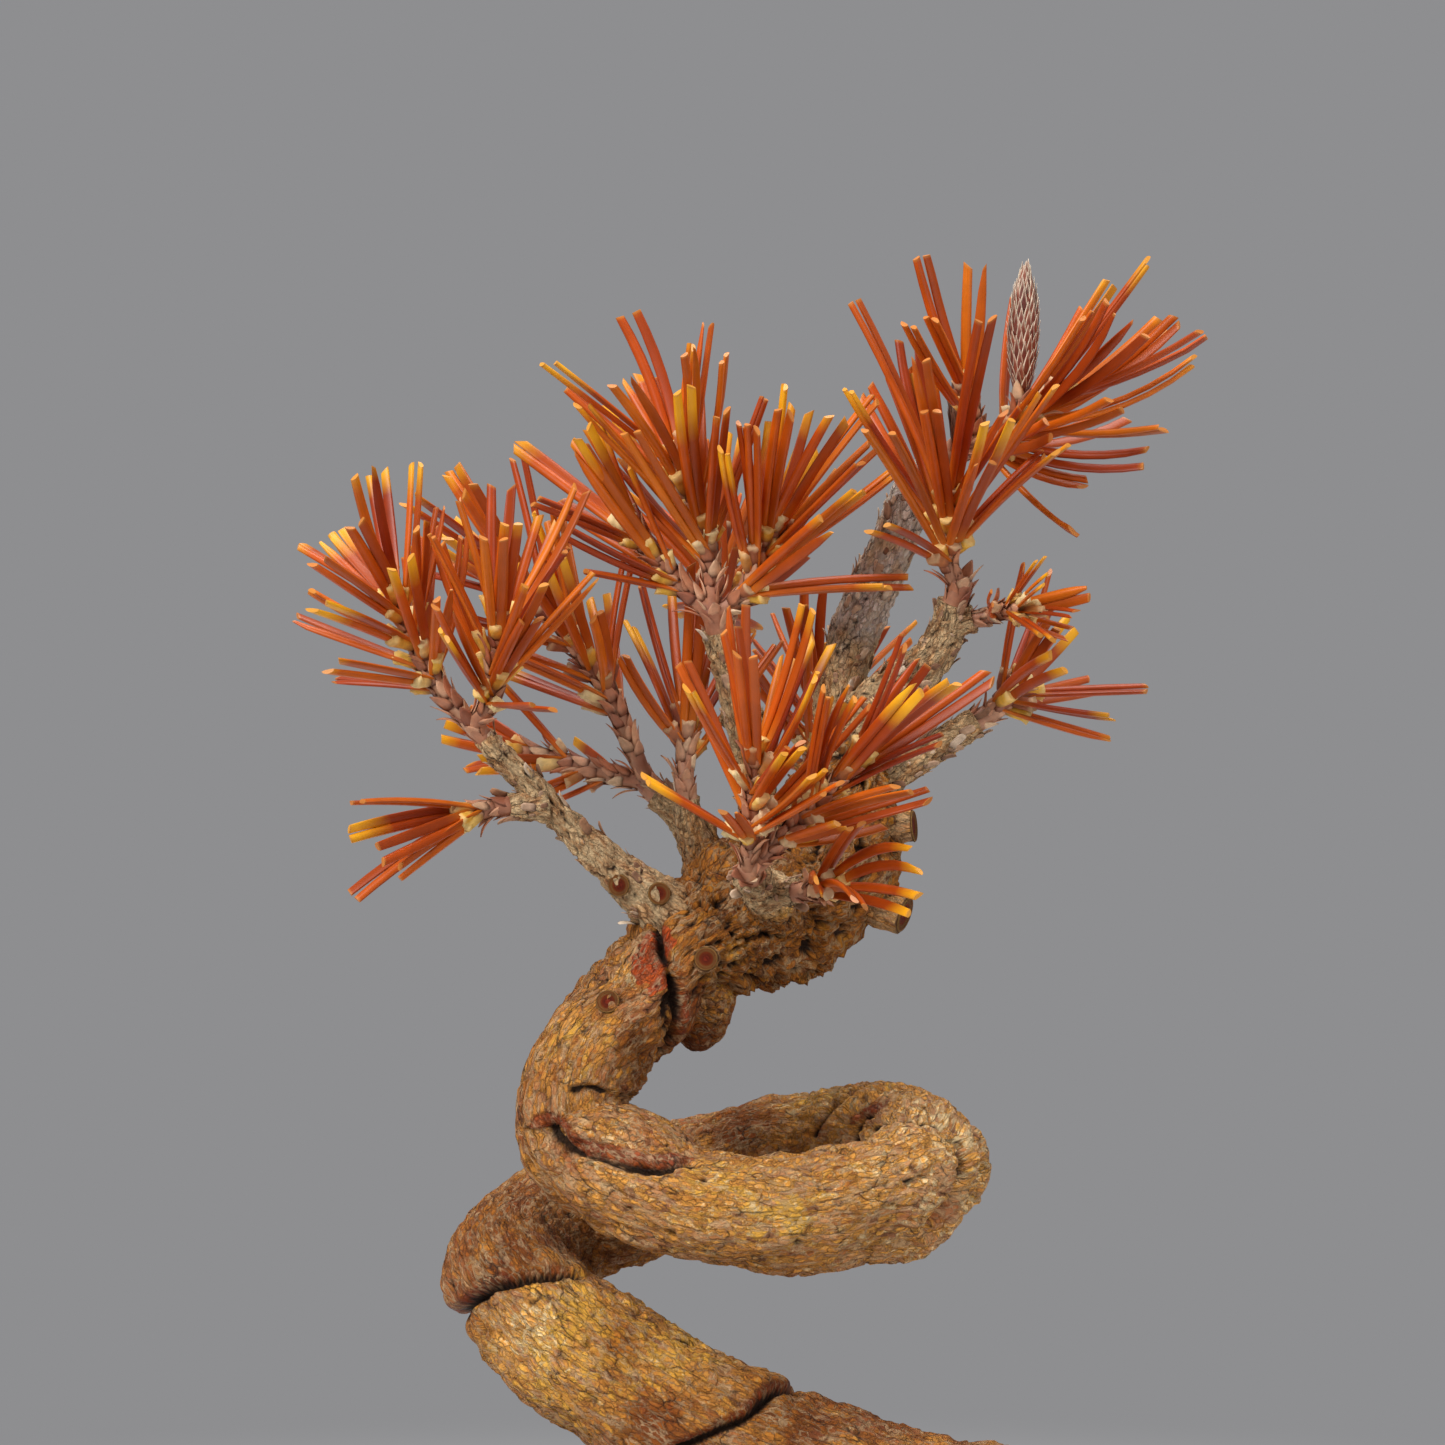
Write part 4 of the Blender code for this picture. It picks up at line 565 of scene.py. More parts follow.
def bark_look():
    """Old bark: squarish plates and chips along the grain, each its own mauve-brown, tan or ochre, with gold
    islands, pale scurf, dark cracks, red-brown scar lips and painted shade in the hollows. Twigs are
    grey-pink.
    A cut has a pale ring."""
    look, tree, shader = new_look("bark", 0.8, Specular_IOR_Level=0.25)
    grain = held(tree, "grain", "Vector")
    age = held(tree, "age")
    gold, rust, pale = add(tree, "ShaderNodeSeparateXYZ", {0: held(tree, "zone", "Vector")}).outputs
    noise = add(tree, "ShaderNodeTexNoise", {"Vector": grain, "Scale": 0.7, "Detail": 5.0, "Roughness": 0.7})
    shaken = add(tree, "ShaderNodeVectorMath", {0: noise.outputs["Color"], 1: (0.9, 0.9, 1.6), 2: grain},
                 operation="MULTIPLY_ADD").outputs[0]
    gap, own = cells(tree, stretched(tree, shaken, (0.72, 0.72, 0.3)))
    fine_gap, fine_own = cells(tree, stretched(tree, shaken, (1.7, 1.7, 0.85)))
    along_grain, longer = (stretched(tree, grain, (1.0, 1.0, scale)) for scale in (0.5, 0.6))
    drift = mottle(tree, stretched(tree, grain, (1.0, 1.0, 0.45)), 0.85, 6.0, 0.7, 0.4)
    wide_drift = mottle(tree, longer, 0.13, 3.0, 0.5)

    # Plates in one colour each, broken up into chips here and there, and speckled.
    chipped = masked(tree, mottle(tree, grain, 0.4, 4.0, 0.6), 0.46, 0.54)
    number = blend_in(tree, chipped, own, fine_own)
    flake = times(tree, reckon(tree, "SUBTRACT", number, 0.5), 0.2)
    ground = steps(tree, number, [(0.0, srgb(150, 100, 70)), (0.2, srgb(204, 154, 112)),
                                  (0.38, srgb(180, 120, 72)), (0.55, srgb(214, 168, 118)),
                                  (0.72, srgb(172, 116, 84)), (0.86, srgb(206, 148, 76)),
                                  (1.0, srgb(222, 178, 122))])
    speck = mottle(tree, along_grain, 1.6, 5.0, 0.75)
    specked = steps(tree, speck, [(0.34, 0.62), (0.5, 1.0), (0.66, 1.2)])
    ground = blend_in(tree, 0.8, ground, specked, "MULTIPLY")

    # Ochre islands, bright yellow edges, rust and pale scurf, more of them where the tables say so.
    rise = plus(tree, drift, flake, times(tree, wide_drift, 0.35))
    island = masked(tree, plus(tree, rise, times(tree, gold, 0.12)), 0.71, 0.75, 0.8)
    ochre = steps(tree, mottle(tree, grain, 1.2, 5.0, 0.7),
                  [(0.35, srgb(186, 116, 48)), (0.5, srgb(222, 162, 74)), (0.65, srgb(200, 136, 60))])
    tint = blend_in(tree, island, ground, ochre)
    yellow = plus(tree, mottle(tree, along_grain, 0.75, 6.0, 0.75), flake)
    bright = masked(tree, plus(tree, yellow, times(tree, gold, 0.2)), 0.73, 0.82, 0.7)
    tint = blend_in(tree, bright, tint, srgb(226, 178, 72))
    rusty = plus(tree, mottle(tree, longer, 0.3, 5.0, 0.7), times(tree, rust, 0.26))
    reddened = blend_in(tree, 0.7, tint, srgb(150, 70, 34))
    tint = blend_in(tree, masked(tree, rusty, 0.66, 0.78, 0.75), tint, reddened)
    scurf = plus(tree, mottle(tree, grain, 1.1, 6.0, 0.78), flake, times(tree, pale, 0.18))
    tint = blend_in(tree, masked(tree, scurf, 0.69, 0.76, 0.75), tint, srgb(228, 208, 172))
    # Paleness scales the whole tint; where it is low, this is partly painted shade.
    light = steps(tree, pale, [(0.0, (0.64, 0.44, 0.19)), (0.4, (1.08, 0.95, 0.74)),
                               (0.8, (1.34, 1.27, 1.08))])
    tint = blend_in(tree, 1.0, tint, light, "MULTIPLY")

    # Young wood, grey-pink or silvery.
    twig = steps(tree, mottle(tree, stretched(tree, grain, (1.0, 1.0, 0.4)), 0.8, 5.0, 0.7),
                 [(0.32, srgb(132, 84, 52)), (0.44, srgb(212, 162, 112)), (0.56, srgb(248, 216, 166)),
                  (0.72, srgb(184, 130, 84))])
    silver = steps(tree, speck, [(0.35, srgb(224, 204, 190)), (0.55, srgb(255, 250, 244))])
    twig = blend_in(tree, masked(tree, pale, 0.6, 1.0, 0.95), twig, silver)
    tint = blend_in(tree, age, twig, tint)
    chips = steps(tree, fine_own, [(0.1, 0.74), (0.5, 1.0), (0.9, 1.18)])
    tint = blend_in(tree, 0.6, tint, chips, "MULTIPLY")

    # Smooth red-brown lips, and raw red where bark was torn off.
    lipped = masked(tree, plus(tree, held(tree, "lip"), times(tree, drift, 1.4)), 1.0, 1.5, 0.85)
    red = steps(tree, yellow, [(0.35, srgb(72, 22, 10)), (0.52, srgb(142, 46, 20)), (0.7, srgb(170, 82, 40))])
    tint = blend_in(tree, lipped, tint, red)
    torn = masked(tree, plus(tree, held(tree, "torn"), times(tree, yellow, 0.7)), 0.75, 0.9, 0.92)
    raw = steps(tree, drift, [(0.35, srgb(90, 26, 8)), (0.5, srgb(186, 62, 16)), (0.64, srgb(212, 96, 36))])
    tint = blend_in(tree, torn, tint, raw)

    # Cracks between the plates, painted shade in the hollows, and the ring and heart of a cut.
    here = masked(tree, mottle(tree, grain, 0.3, 4.0, 0.6), 0.5, 0.6)
    crack = times(tree, masked(tree, gap, 0.07, 0.015, 0.8), here)
    fine_crack = times(tree, masked(tree, fine_gap, 0.12, 0.02, 0.55), masked(tree, drift, 0.46, 0.56))
    worn = times(tree, masked(tree, fine_gap, 0.24, 0.12, 0.4), masked(tree, drift, 0.54, 0.44))
    tint = blend_in(tree, worn, tint, srgb(226, 196, 150))
    tint = blend_in(tree, fine_crack, tint, srgb(92, 56, 34))
    tint = blend_in(tree, crack, tint, srgb(52, 30, 19))
    # Painted shade: hollows, grooves, crease floors and the insides of sharp bends are darkened.
    tint = blend_in(tree, steps(tree, held(tree, "deep"), [(0.2, 0.0), (0.85, 0.95)]), tint, srgb(36, 21, 13))
    cut = held(tree, "cut")
    ring = steps(tree, cut, [(0.28, srgb(120, 70, 34)), (0.45, srgb(216, 162, 84)),
                             (0.58, srgb(176, 112, 54)), (0.72, srgb(176, 70, 16)), (1.0, srgb(132, 38, 6))])
    tint = blend_in(tree, steps(tree, cut, [(0.1, 0.0), (0.25, 1.0)]), tint, ring)

    # The lips shine a little and are smoother. Elsewhere the plates stand up.
    tree.links.new(steps(tree, lipped, [(0.0, 0.72), (0.85, 0.45)]), shader.inputs["Roughness"])
    ledge = plus(tree, times(tree, masked(tree, gap, 0.0, 0.14), plus(tree, own, 0.3)),
                 times(tree, masked(tree, fine_gap, 0.0, 0.2), plus(tree, 0.15, times(tree, fine_own, 0.7))),
                 times(tree, island, 0.3), times(tree, speck, 1.3))
    height = times(tree, ledge, steps(tree, lipped, [(0.3, 1.0), (0.85, 0.45)]))
    return finished(look, shader, tint, height, strength=1.0, depth=0.0005)


bark = bark_look()
BARK_VALUES = {"grain": 3, "deep": 1, "lip": 1, "torn": 1, "zone": 3, "age": 1, "cut": 1}
trunk_skin = Skin(**BARK_VALUES)
make_trunk(trunk_skin)
show("trunk", trunk_skin.mesh("trunk"), bark, "bark", "wood")

# The branches, the stubs of branches that were cut off, the folds of wood squeezed out of two sharp bends,
# and the surface roots. They are the same live wood as the trunk, grown out of it; young bark is grey-pink.
FOLDS = [  # centre, half sizes, turn about the view in degrees
    ((-16.0, -14.5, 106.3), (9.5, 5.0, 3.3), 16.0),
    ((-6.5, -2.5, 120.5), (3.8, 5.0, 6.0), 12.0),
    ((7.0, 6.0, 128.5), (6.5, 5.0, 4.0), -20.0),
]
BRANCHES = {  # x, y, z and radius from inside the trunk to the end that carries the shoots
    "left": [(-8, -4, 131, 3.6), (-13, -6, 134.5, 3.4), (-17, -7, 138, 2.5), (-20, -8, 141, 2.1),
             (-24, -9, 145, 1.9), (-27.5, -10, 149, 1.8), (-31, -11, 152.5, 1.7), (-33.5, -12, 155.5, 1.6)],
    "middle": [(-3, 2, 131, 3.2), (-6, 5, 138, 2.7), (-8.5, 7, 143, 2.4), (-12, 8.5, 146, 2.0)],
    "inner": [(-6, 5, 137.5, 2.4), (-8, 5, 142.5, 1.9), (-8.5, 4.5, 146, 1.7)],
    "centre": [(2, 4, 133, 3.2), (0.5, 6, 146, 2.4), (-2, 4, 158, 2.3), (-3.5, 3, 164, 2.1),
               (-4.5, 2, 167.5, 2.0)],
    "centre_back": [(-1.5, 5, 156, 2.2), (-2.5, 9, 161, 1.8), (-3.5, 14, 165, 1.7)],
    "apex": [(13, 7, 150, 4.4), (11, 11, 157.5, 3.6), (12, 12, 164, 3.3), (14.5, 11, 171, 3.1),
             (17.5, 10, 177.5, 2.9), (20, 9, 184, 2.7), (24, 8, 188, 2.4)],
    "upper": [(12, 8, 154, 3.0), (17, 5, 159.5, 2.8), (21.5, 2, 163, 2.6), (24, 1, 167.5, 2.3),
              (25, 0.2, 171, 2.0)],
    "right": [(12.5, 7.5, 146, 3.0), (18, 8, 149, 2.0), (23, 9, 152, 1.9), (28, 10, 155, 1.8)],
    "front": [(3, -3, 133, 3.2), (1.5, -12, 136, 2.6), (0, -20, 138.5, 2.2), (-0.5, -25, 140, 2.0)],
    "back": [(7, 6, 137, 3.2), (7.5, 16, 139.5, 2.3), (7.5, 23, 142, 1.9)],
    "low": [(-26, -9.5, 147, 1.9), (-28.5, -10.2, 146.8, 1.7), (-30.5, -10.8, 146.7, 1.5)],
    "side": [(23.8, 0.9, 168, 1.6), (27.4, 0.1, 169, 1.4)],
    "fore": [(0.8, -15.5, 137, 2.3), (3.5, -18, 136.9, 1.8), (5, -19.3, 137.1, 1.6)],
}
STUBS = [  # foot, outward direction, radius, length beyond the foot
    ((-6.0, -3.0, 127.0), (0.0, -1.0, 0.1), 1.4, 9.2),
    ((-17.0, -9.0, 120.0), (-0.2, -1.0, 0.5), 1.4, 6.4),
    ((-16.0, -7.0, 136.5), (-0.3, -1.0, 0.1), 1.2, 2.6),
    ((-12.5, -6.0, 135.0), (0.2, -1.0, 0.2), 1.25, 3.0),
    ((12.0, 2.0, 134.0), (1.0, -0.4, -0.3), 2.2, 7.5),
    ((14.0, 4.0, 142.0), (1.0, -0.2, 0.1), 1.9, 6.0),
]
ROOTS = [  # compass direction in degrees, reach from the trunk's foot, radius at the start
    (-95, 20.0, 3.6), (-40, 17.0, 3.0), (10, 18.0, 3.4), (75, 15.0, 2.8), (140, 19.0, 3.3), (200, 21.0, 3.7),
]
ROOT_TOP = 40.5
ROOT_SHAPE = [(0.1, 0.0, 1.0), (0.55, 0.8, 0.9), (0.8, 4.0, 0.7), (1.0, 11.5, 0.45)]  # way out, drop, girth
ROOT_SWEEP = 0.18
FLARE = 0.35  # how much thicker a branch is where it leaves the wood
FLARE_REACH = 3.0
FOLD_ZONE = (0.45, 0.6, 0.42)  # how yellow, how red and how pale
YOUNG_ZONE = (0.4, 0.4, 0.5)
KNOT_MIDDLE = TRUNK[31][:3]
KNOT_REACH = (9.0, 18.0)  # from its middle: all old dark bark within the first, none beyond the second
KNOT_ADDS = (0.3, -0.2, -0.48)  # to how yellow, how red and how pale the bark is there
CUT_FACE = [(1.03, 0.12, 0.3), (0.96, 0.3, 0.5), (0.84, 0.32, 0.62), (0.7, 0.16, 0.55), (0.5, 0.06, 0.8),
            (0.25, 0.1, 1.0)]  # share of the stub's radius, rise, how near to the dark heart


def add_fold(skin, centre, half, turn, salt):
    """A roll of wood squeezed out of a sharp bend."""
    rise = np.linspace(-math.pi / 2 + 0.02, math.pi / 2 - 0.02, 60)[:, None]
    angle = full_turn(110)
    ball = np.stack([np.sin(rise) + 0 * angle, np.cos(rise) * np.cos(angle),
                     np.cos(rise) * np.sin(angle)], -1)
    flat = ball * half
    relief = bark_relief(flat[..., (1, 2, 0)], 0.6, (2.0, 3.9), salt)
    lean = np.array(Matrix.Rotation(math.radians(turn), 3, "Y"))
    grid = np.array(centre) + (flat + ball * relief[..., None] * 0.7) @ lean.T
    # Painted shade in the fold's crevices.
    deep = ramp(blurred(relief, 3) - relief, 0.05, 0.4)
    grid, deep, lip = creased(grid, unit(ball / np.array(half)) @ lean.T, deep, 0 * deep)
    zone, torn = marked(grid, FOLD_ZONE)
    skin.add(grid, grain=flat[..., (1, 2, 0)] + salt * 13.0, deep=deep, lip=lip, torn=torn, zone=zone,
             age=np.ones(deep.shape))


def add_limb(skin, rows, sides, salt, age, plate=(1.3, 1.9), rough=0.55, face=()):
    """A branch, stub or root as rings along its path, with flaky bark and, on a stub, a healed cut face."""
    _, path = smooth_path(rows, 0.5)
    centres = path[:, :3]
    along, side, up = path_frames(centres)
    run, angle = run_along(centres), full_turn(sides)
    outward = spokes(side, up, angle)
    radius = path[:, 3:] * (1 + FLARE * np.exp(-run[:, None] / FLARE_REACH))
    flat = np.stack([radius * np.cos(angle), radius * np.sin(angle), run[:, None] + 0 * radius * angle], -1)
    flat += salt * 17.0
    relief = bark_relief(flat, rough, plate, salt, swell=0.3 + 0.5 * age)
    grid = centres[:, None] + outward * (radius + relief)[..., None]
    # Painted shade in the crevices of the bark.
    deep = ramp(blurred(relief, 2) - relief, 0.04, 0.35)
    lip = np.zeros(deep.shape)
    cut = np.zeros(deep.shape)
    middle = grid[-1].mean(0)
    for share, rise, heart in face:
        grid = np.concatenate([grid, (middle + outward[-1] * radius[-1] * share + along[-1] * rise)[None]])
        flat = np.concatenate([flat, (flat[len(path) - 1] * (share, share, 1.0) + (0, 0, rise))[None]])
        deep, lip = (np.concatenate([rows, rows[-1:] * 0.3]) for rows in (deep, lip))
        cut = np.concatenate([cut, np.full((1, sides), heart)])
    way = np.concatenate([along, np.repeat(along[-1:], len(face), 0)])[:, None]
    knotty = 1 - ramp(np.linalg.norm(grid - KNOT_MIDDLE, axis=-1), *KNOT_REACH)
    zone, torn = marked(grid, np.array(YOUNG_ZONE) + knotty[..., None] * KNOT_ADDS)
    skin.add(grid, grain=flat, deep=deep, lip=lip, torn=torn, zone=zone, age=np.maximum(age, knotty), cut=cut,
             way=way)


def root_rows(compass, reach, radius):
    """One surface root, from inside the trunk's foot, over the soil and down into it."""
    foot = Vector(TRUNK[1][:2])
    out = Vector((math.cos(math.radians(compass)), math.sin(math.radians(compass))))
    sweep = Vector((-out.y, out.x)) * ROOT_SWEEP * reach
    rows = []
    for share, drop, girth in ROOT_SHAPE:
        spot = foot + out * reach * share + sweep * math.sin(share * math.pi)
        rows.append((spot.x, spot.y, ROOT_TOP - drop, radius * girth))
    return rows


limb_skin = Skin(**BARK_VALUES, way=3)
for fold_number, fold in enumerate(FOLDS):
    add_fold(limb_skin, *fold, salt=100 + fold_number)
for branch_number, (name, rows) in enumerate(BRANCHES.items()):
    age = 0.25 if name in ("apex", "centre", "right") else 0.1
    add_limb(limb_skin, rows, sides=36, salt=200 + branch_number, age=age)
for stub_number, (foot, way, radius, length) in enumerate(STUBS):
    end = np.array(foot) + unit(way) * length
    add_limb(limb_skin, [(*foot, radius * 1.15), (*end, radius)], sides=36, salt=300 + stub_number, age=0.7,
             face=CUT_FACE)
for root_number, root in enumerate(ROOTS):
    add_limb(limb_skin, root_rows(*root), sides=52, salt=400 + root_number, age=0.9, plate=(2.1, 4.2),
             rough=0.6)
limbs = show("branches_and_roots", limb_skin.mesh("branches_and_roots"), bark, "bark", "wood")

# Loose flakes of dead bark that stand off the branches, each a small curled plate held at one end. They
# weather grey on their outside. The old bark of the knot under the crown has none left.
FLAKE_LENGTH = 2.1
FLAKE_WIDTH = 1.2
TONE_SEED = 7
FLAKY_FROM = (15.0, 20.0)  # from the knot's middle, where the flakes begin and where they stand thick


def leaf(name, length, width, thick, outline, curl, hug, rows=6, around=6):
    """A small closed plate that stands up from its foot at the origin: along Z, facing Y, tip curled over."""
    share = np.linspace(0, 1, rows)[:, None]
    angle = full_turn(around)
    half = np.interp(share, np.linspace(0, 1, len(outline)), outline) * width / 2
    x = half * np.cos(angle)
    y = thick / 2 * np.sin(angle) * np.interp(share, (0, 0.8, 1), (1, 1, 0.4)) - hug * x**2 + curl * share**3
    z = length * share * np.ones(angle.shape)
    shell = Skin(share=1, edge=1)
    shell.add(np.stack([x, y, z], -1), share=share * np.ones(angle.shape),
              edge=np.abs(np.cos(angle)) + 0 * share)
    return new_object(name, shell.mesh(name))


def start_tree(name, **sockets):
    """An empty Geometry Nodes tree with named inputs: the tree, its input sockets and its output node."""
    tree = bpy.data.node_groups.new(name, "GeometryNodeTree")
    tree.interface.new_socket("Geometry", in_out="INPUT", socket_type="NodeSocketGeometry")
    tree.interface.new_socket("Geometry", in_out="OUTPUT", socket_type="NodeSocketGeometry")
    for key, kind in sockets.items():
        tree.interface.new_socket(key, in_out="INPUT", socket_type="NodeSocket" + kind)
    return tree, tree.nodes.new("NodeGroupInput").outputs, tree.nodes.new("NodeGroupOutput").inputs


def carried(tree, name, kind="FLOAT_VECTOR"):
    """A value that the points carry, as a Geometry Nodes tree reads it."""
    return add(tree, "GeometryNodeInputNamedAttribute", {"Name": name}, data_type=kind).outputs["Attribute"]


def sum_of(tree, a, b, operation="ADD"):
    """The sum of two vectors, or their difference."""
    return add(tree, "ShaderNodeVectorMath", {0: a, 1: b}, operation=operation).outputs["Vector"]


def scaled(tree, vector, factor):
    """A vector made longer or shorter."""
    ins = {0: vector, "Scale": factor}
    return add(tree, "ShaderNodeVectorMath", ins, operation="SCALE").outputs["Vector"]


def drawn_by_lot(tree, low, high, seed):
    """A number of its own for every point, between the low and the high one."""
    ins = {2: low, 3: high, "Seed": seed}
    return add(tree, "FunctionNodeRandomValue", ins, data_type="FLOAT").outputs[1]


def stored(tree, geometry, name, value):
    """The geometry, with a number that its points carry from here on."""
    ins = {"Geometry": geometry, "Name": name, "Value": value}
    made = add(tree, "GeometryNodeStoreNamedAttribute", ins, data_type="FLOAT", domain="POINT")
    return made.outputs["Geometry"]


def turned(tree, upward, facing):
    """A turn that stands a shape up one way and makes it face another."""
    ins = {"Primary Axis": upward, "Secondary Axis": facing}
    made = add(tree, "FunctionNodeAxesToRotation", ins, primary_axis="Z", secondary_axis="Y")
    return made.outputs["Rotation"]


def end_tree(tree, geometry, finish, outputs):
    """Instances made real, shaded smooth and given their finish."""
    solid = add(tree, "GeometryNodeRealizeInstances", {"Geometry": geometry}).outputs["Geometry"]
    smooth = add(tree, "GeometryNodeSetShadeSmooth", {"Geometry": solid}).outputs["Geometry"]
    done = add(tree, "GeometryNodeSetMaterial", {"Geometry": smooth, "Material": finish}).outputs["Geometry"]
    tree.links.new(done, outputs["Geometry"])


def strewn_tree():
    """Shapes strewn over a surface, their feet on it, leaning off it and along its way, each a little
    turned."""
    tree, ins, outs = start_tree("strewn", Shape="Object", Density="Float", Least="Float", Most="Float",
                                 Lift="Float", Wild="Float", Seed="Int", Finish="Material")
    density = times(tree, ins["Density"], carried(tree, "flaky", "FLOAT"))
    spots, normal, _ = add(tree, "GeometryNodeDistributePointsOnFaces",
                           {"Mesh": ins["Geometry"], "Density": density, "Seed": ins["Seed"]},
                           distribute_method="RANDOM").outputs
    shape = add(tree, "GeometryNodeObjectInfo", {"Object": ins["Shape"]}).outputs["Geometry"]
    stray = add(tree, "FunctionNodeRandomValue", {"Min": (-1, -1, -1), "Max": (1, 1, 1), "Seed": ins["Seed"]},
                data_type="FLOAT_VECTOR").outputs["Value"]
    leaning = sum_of(tree, carried(tree, "way"), scaled(tree, normal, ins["Lift"]))
    way = sum_of(tree, leaning, scaled(tree, stray, ins["Wild"]))
    size = drawn_by_lot(tree, ins["Least"], ins["Most"], ins["Seed"])
    toned = stored(tree, spots, "tone", drawn_by_lot(tree, 0.0, 1.0, TONE_SEED))
    placed = add(tree, "GeometryNodeInstanceOnPoints",
                 {"Points": toned, "Instance": shape, "Rotation": turned(tree, way, normal), "Scale": size})
    end_tree(tree, placed.outputs["Instances"], ins["Finish"], outs)
    return tree


def grow(name, mesh, tree, **values):
    """What a tree makes of a mesh, as a plain mesh. The helper object and the modifier are removed."""
    helper = new_object(name, mesh)
    grown = helper.modifiers.new("grow", "NODES")
    grown.node_group = tree
    for item in tree.interface.items_tree:
        if item.in_out == "INPUT" and item.name in values:
            grown[item.identifier] = values[item.name]
    graph = bpy.context.evaluated_depsgraph_get()
    made = bpy.data.meshes.new_from_object(helper.evaluated_get(graph))
    bpy.data.objects.remove(helper)
    return made


def in_place(tree):
    """Where a point lies on its piece."""
    return add(tree, "ShaderNodeTexCoord").outputs["Object"]


def shaded(tree, tint, amount, mixed, low, high):
    """A tint made darker and lighter in spots, as far as the amount says."""
    return blend_in(tree, amount, tint, steps(tree, mixed, [(0.3, low), (0.7, high)]), "MULTIPLY")


def flake_look():
    """Dead bark: grey-brown to red-brown in tones of its own, darker at its foot."""
    look, tree, shader = new_look("bark_flakes", 0.88)
    tint = steps(tree, held(tree, "tone"),
                 [(0.0, srgb(134, 94, 68)), (0.3, srgb(184, 146, 116)), (0.6, srgb(212, 182, 152)),
                  (0.85, srgb(170, 122, 88)), (1.0, srgb(230, 210, 184))])
    mixed = mottle(tree, in_place(tree), 1400.0, 3.0)
    tint = shaded(tree, tint, 0.5, mixed, 0.5, 1.3)
    foot = steps(tree, held(tree, "share"), [(0.0, 0.7), (0.4, 0.0)])
    tint = blend_in(tree, foot, tint, srgb(76, 52, 38))
    return finished(look, shader, tint, mixed, strength=0.5, depth=0.0001)


strewn = strewn_tree()
flake_finish = flake_look()
flake = leaf("flake", FLAKE_LENGTH, FLAKE_WIDTH, 0.14, (0.7, 1.0, 0.85, 1.0, 0.5), curl=0.35, hug=0.2)
flaked = limbs.data.copy()
ages = np.array([point.value for point in flaked.attributes["age"].data])
places = np.empty(len(flaked.vertices) * 3)
flaked.vertices.foreach_get("co", places)
from_knot = np.linalg.norm(places.reshape(-1, 3) / MM - KNOT_MIDDLE, axis=1)
carry(flaked, "flaky", ramp(from_knot, *FLAKY_FROM) * (ages < 0.5))
flakes = grow("bark_flakes", flaked, strewn, Shape=flake, Density=1.5e5, Least=0.35, Most=1.15, Lift=0.1,
              Wild=0.28, Seed=3, Finish=flake_finish)
show("bark_flakes", flakes, flake_finish, "bark", "wood")
bpy.data.objects.remove(flake)

# The shoots: this year's growth on the ends of the branches, bare of needles at the foot and wrapped in
# papery mauve-pink scales that overlap up the shoot in a spiral, each with a brown tip bent outwards.
SPRAYS = {  # branch, seed, then each shoot's points, pairs of needles, their length, and lean at foot and tip
    "spray_left": ("left", 513, [
        ([(-39.3, -12.5, 162.5), (-44.5, -13.1, 173.4)], 14, 17.1, 60, 29),
        ([(-32.6, -14.9, 160.2), (-31.5, -17.1, 169.4)], 12, 18.9, 52, 22)]),
    "spray_low": ("low", 692, [
        ([(-34.3, -12.5, 146.1)], 5, 17.7, 24, 18)]),
    "spray_middle": ("middle", 427, [
        ([(-18.3, 8.4, 158.6), (-23.4, 7.7, 166.2), (-30.2, 7.1, 174.3)], 15, 19.1, 60, 19),
        ([(-20.6, 10.6, 149), (-28.4, 13.2, 150.8)], 5, 12.7, 54, 21)]),
    "spray_inner": ("inner", 841, [
        ([(-8.4, 7.9, 155.7)], 7, 22.3, 43, 15)]),
    "spray_centre": ("centre", 229, [
        ([(-5.7, 1.6, 177.1), (-9.8, -0.4, 188.8)], 15, 20.8, 36, 26),
        ([(-8.3, 2.1, 172.2), (-15.1, 1.8, 179.6)], 9, 18.2, 24, 29),
        ([(-1.2, 0.4, 172.3), (2, -1.1, 179.6)], 12, 21.5, 46, 20)]),
    "spray_centre_back": ("centre_back", 541, [
        ([(-4.1, 21.2, 169.4), (-4.3, 27.5, 174.7)], 11, 18.7, 51, 26)]),
    "spray_apex": ("apex", 632, [
        ([(29.5, 6.8, 190.3), (32.7, 6.3, 193), (33.3, 6.1, 196)], 6, 21.9, 50, 45),
        ([(30.4, 3.8, 191.5), (36.4, 1.8, 196.5)], 12, 22.4, 37, 14),
        ([(27.2, 5.3, 191.2), (27, 2.6, 195.9)], 6, 19.6, 31, 21)]),
    "spray_upper": ("upper", 624, [
        ([(24.2, -0.9, 176.3), (24.3, -2.3, 183)], 13, 26.4, 50, 23)]),
    "spray_side": ("side", 998, [
        ([(32.8, -4.9, 170.8)], 7, 10.2, 46, 14)]),
    "spray_right": ("right", 885, [
        ([(30.5, 10.1, 157.1), (32.9, 10.1, 159)], 8, 16.8, 57, 36)]),
    "spray_front": ("front", 228, [
        ([(-0.6, -30.3, 146), (-0.1, -33.6, 155)], 11, 19.2, 59, 15),
        ([(4, -30.6, 145.9), (11.5, -34.8, 154.3)], 11, 19.3, 41, 14)]),
    "spray_fore": ("fore", 270, [
        ([(8.4, -25.3, 138.4)], 5, 20.2, 24, 14)]),
    "spray_back": ("back", 441, [
        ([(8, 30.4, 147.7), (8.6, 35.8, 155.5)], 11, 17.8, 60, 30)]),
}
GAP = 0.3
COLLAR = 3.0
FORK_AT = 0.6
SHOOT_RADIUS = 1.6
SHOOT_TAPER = 0.8
GOLDEN_DEG = 137.5
SCALE_SPACING = 0.42  # along the shoot from one scale to the next
RIBBON_SPACING = 2.8
SHOOT_GIRTH = 0.7  # of the room that its solid gives it


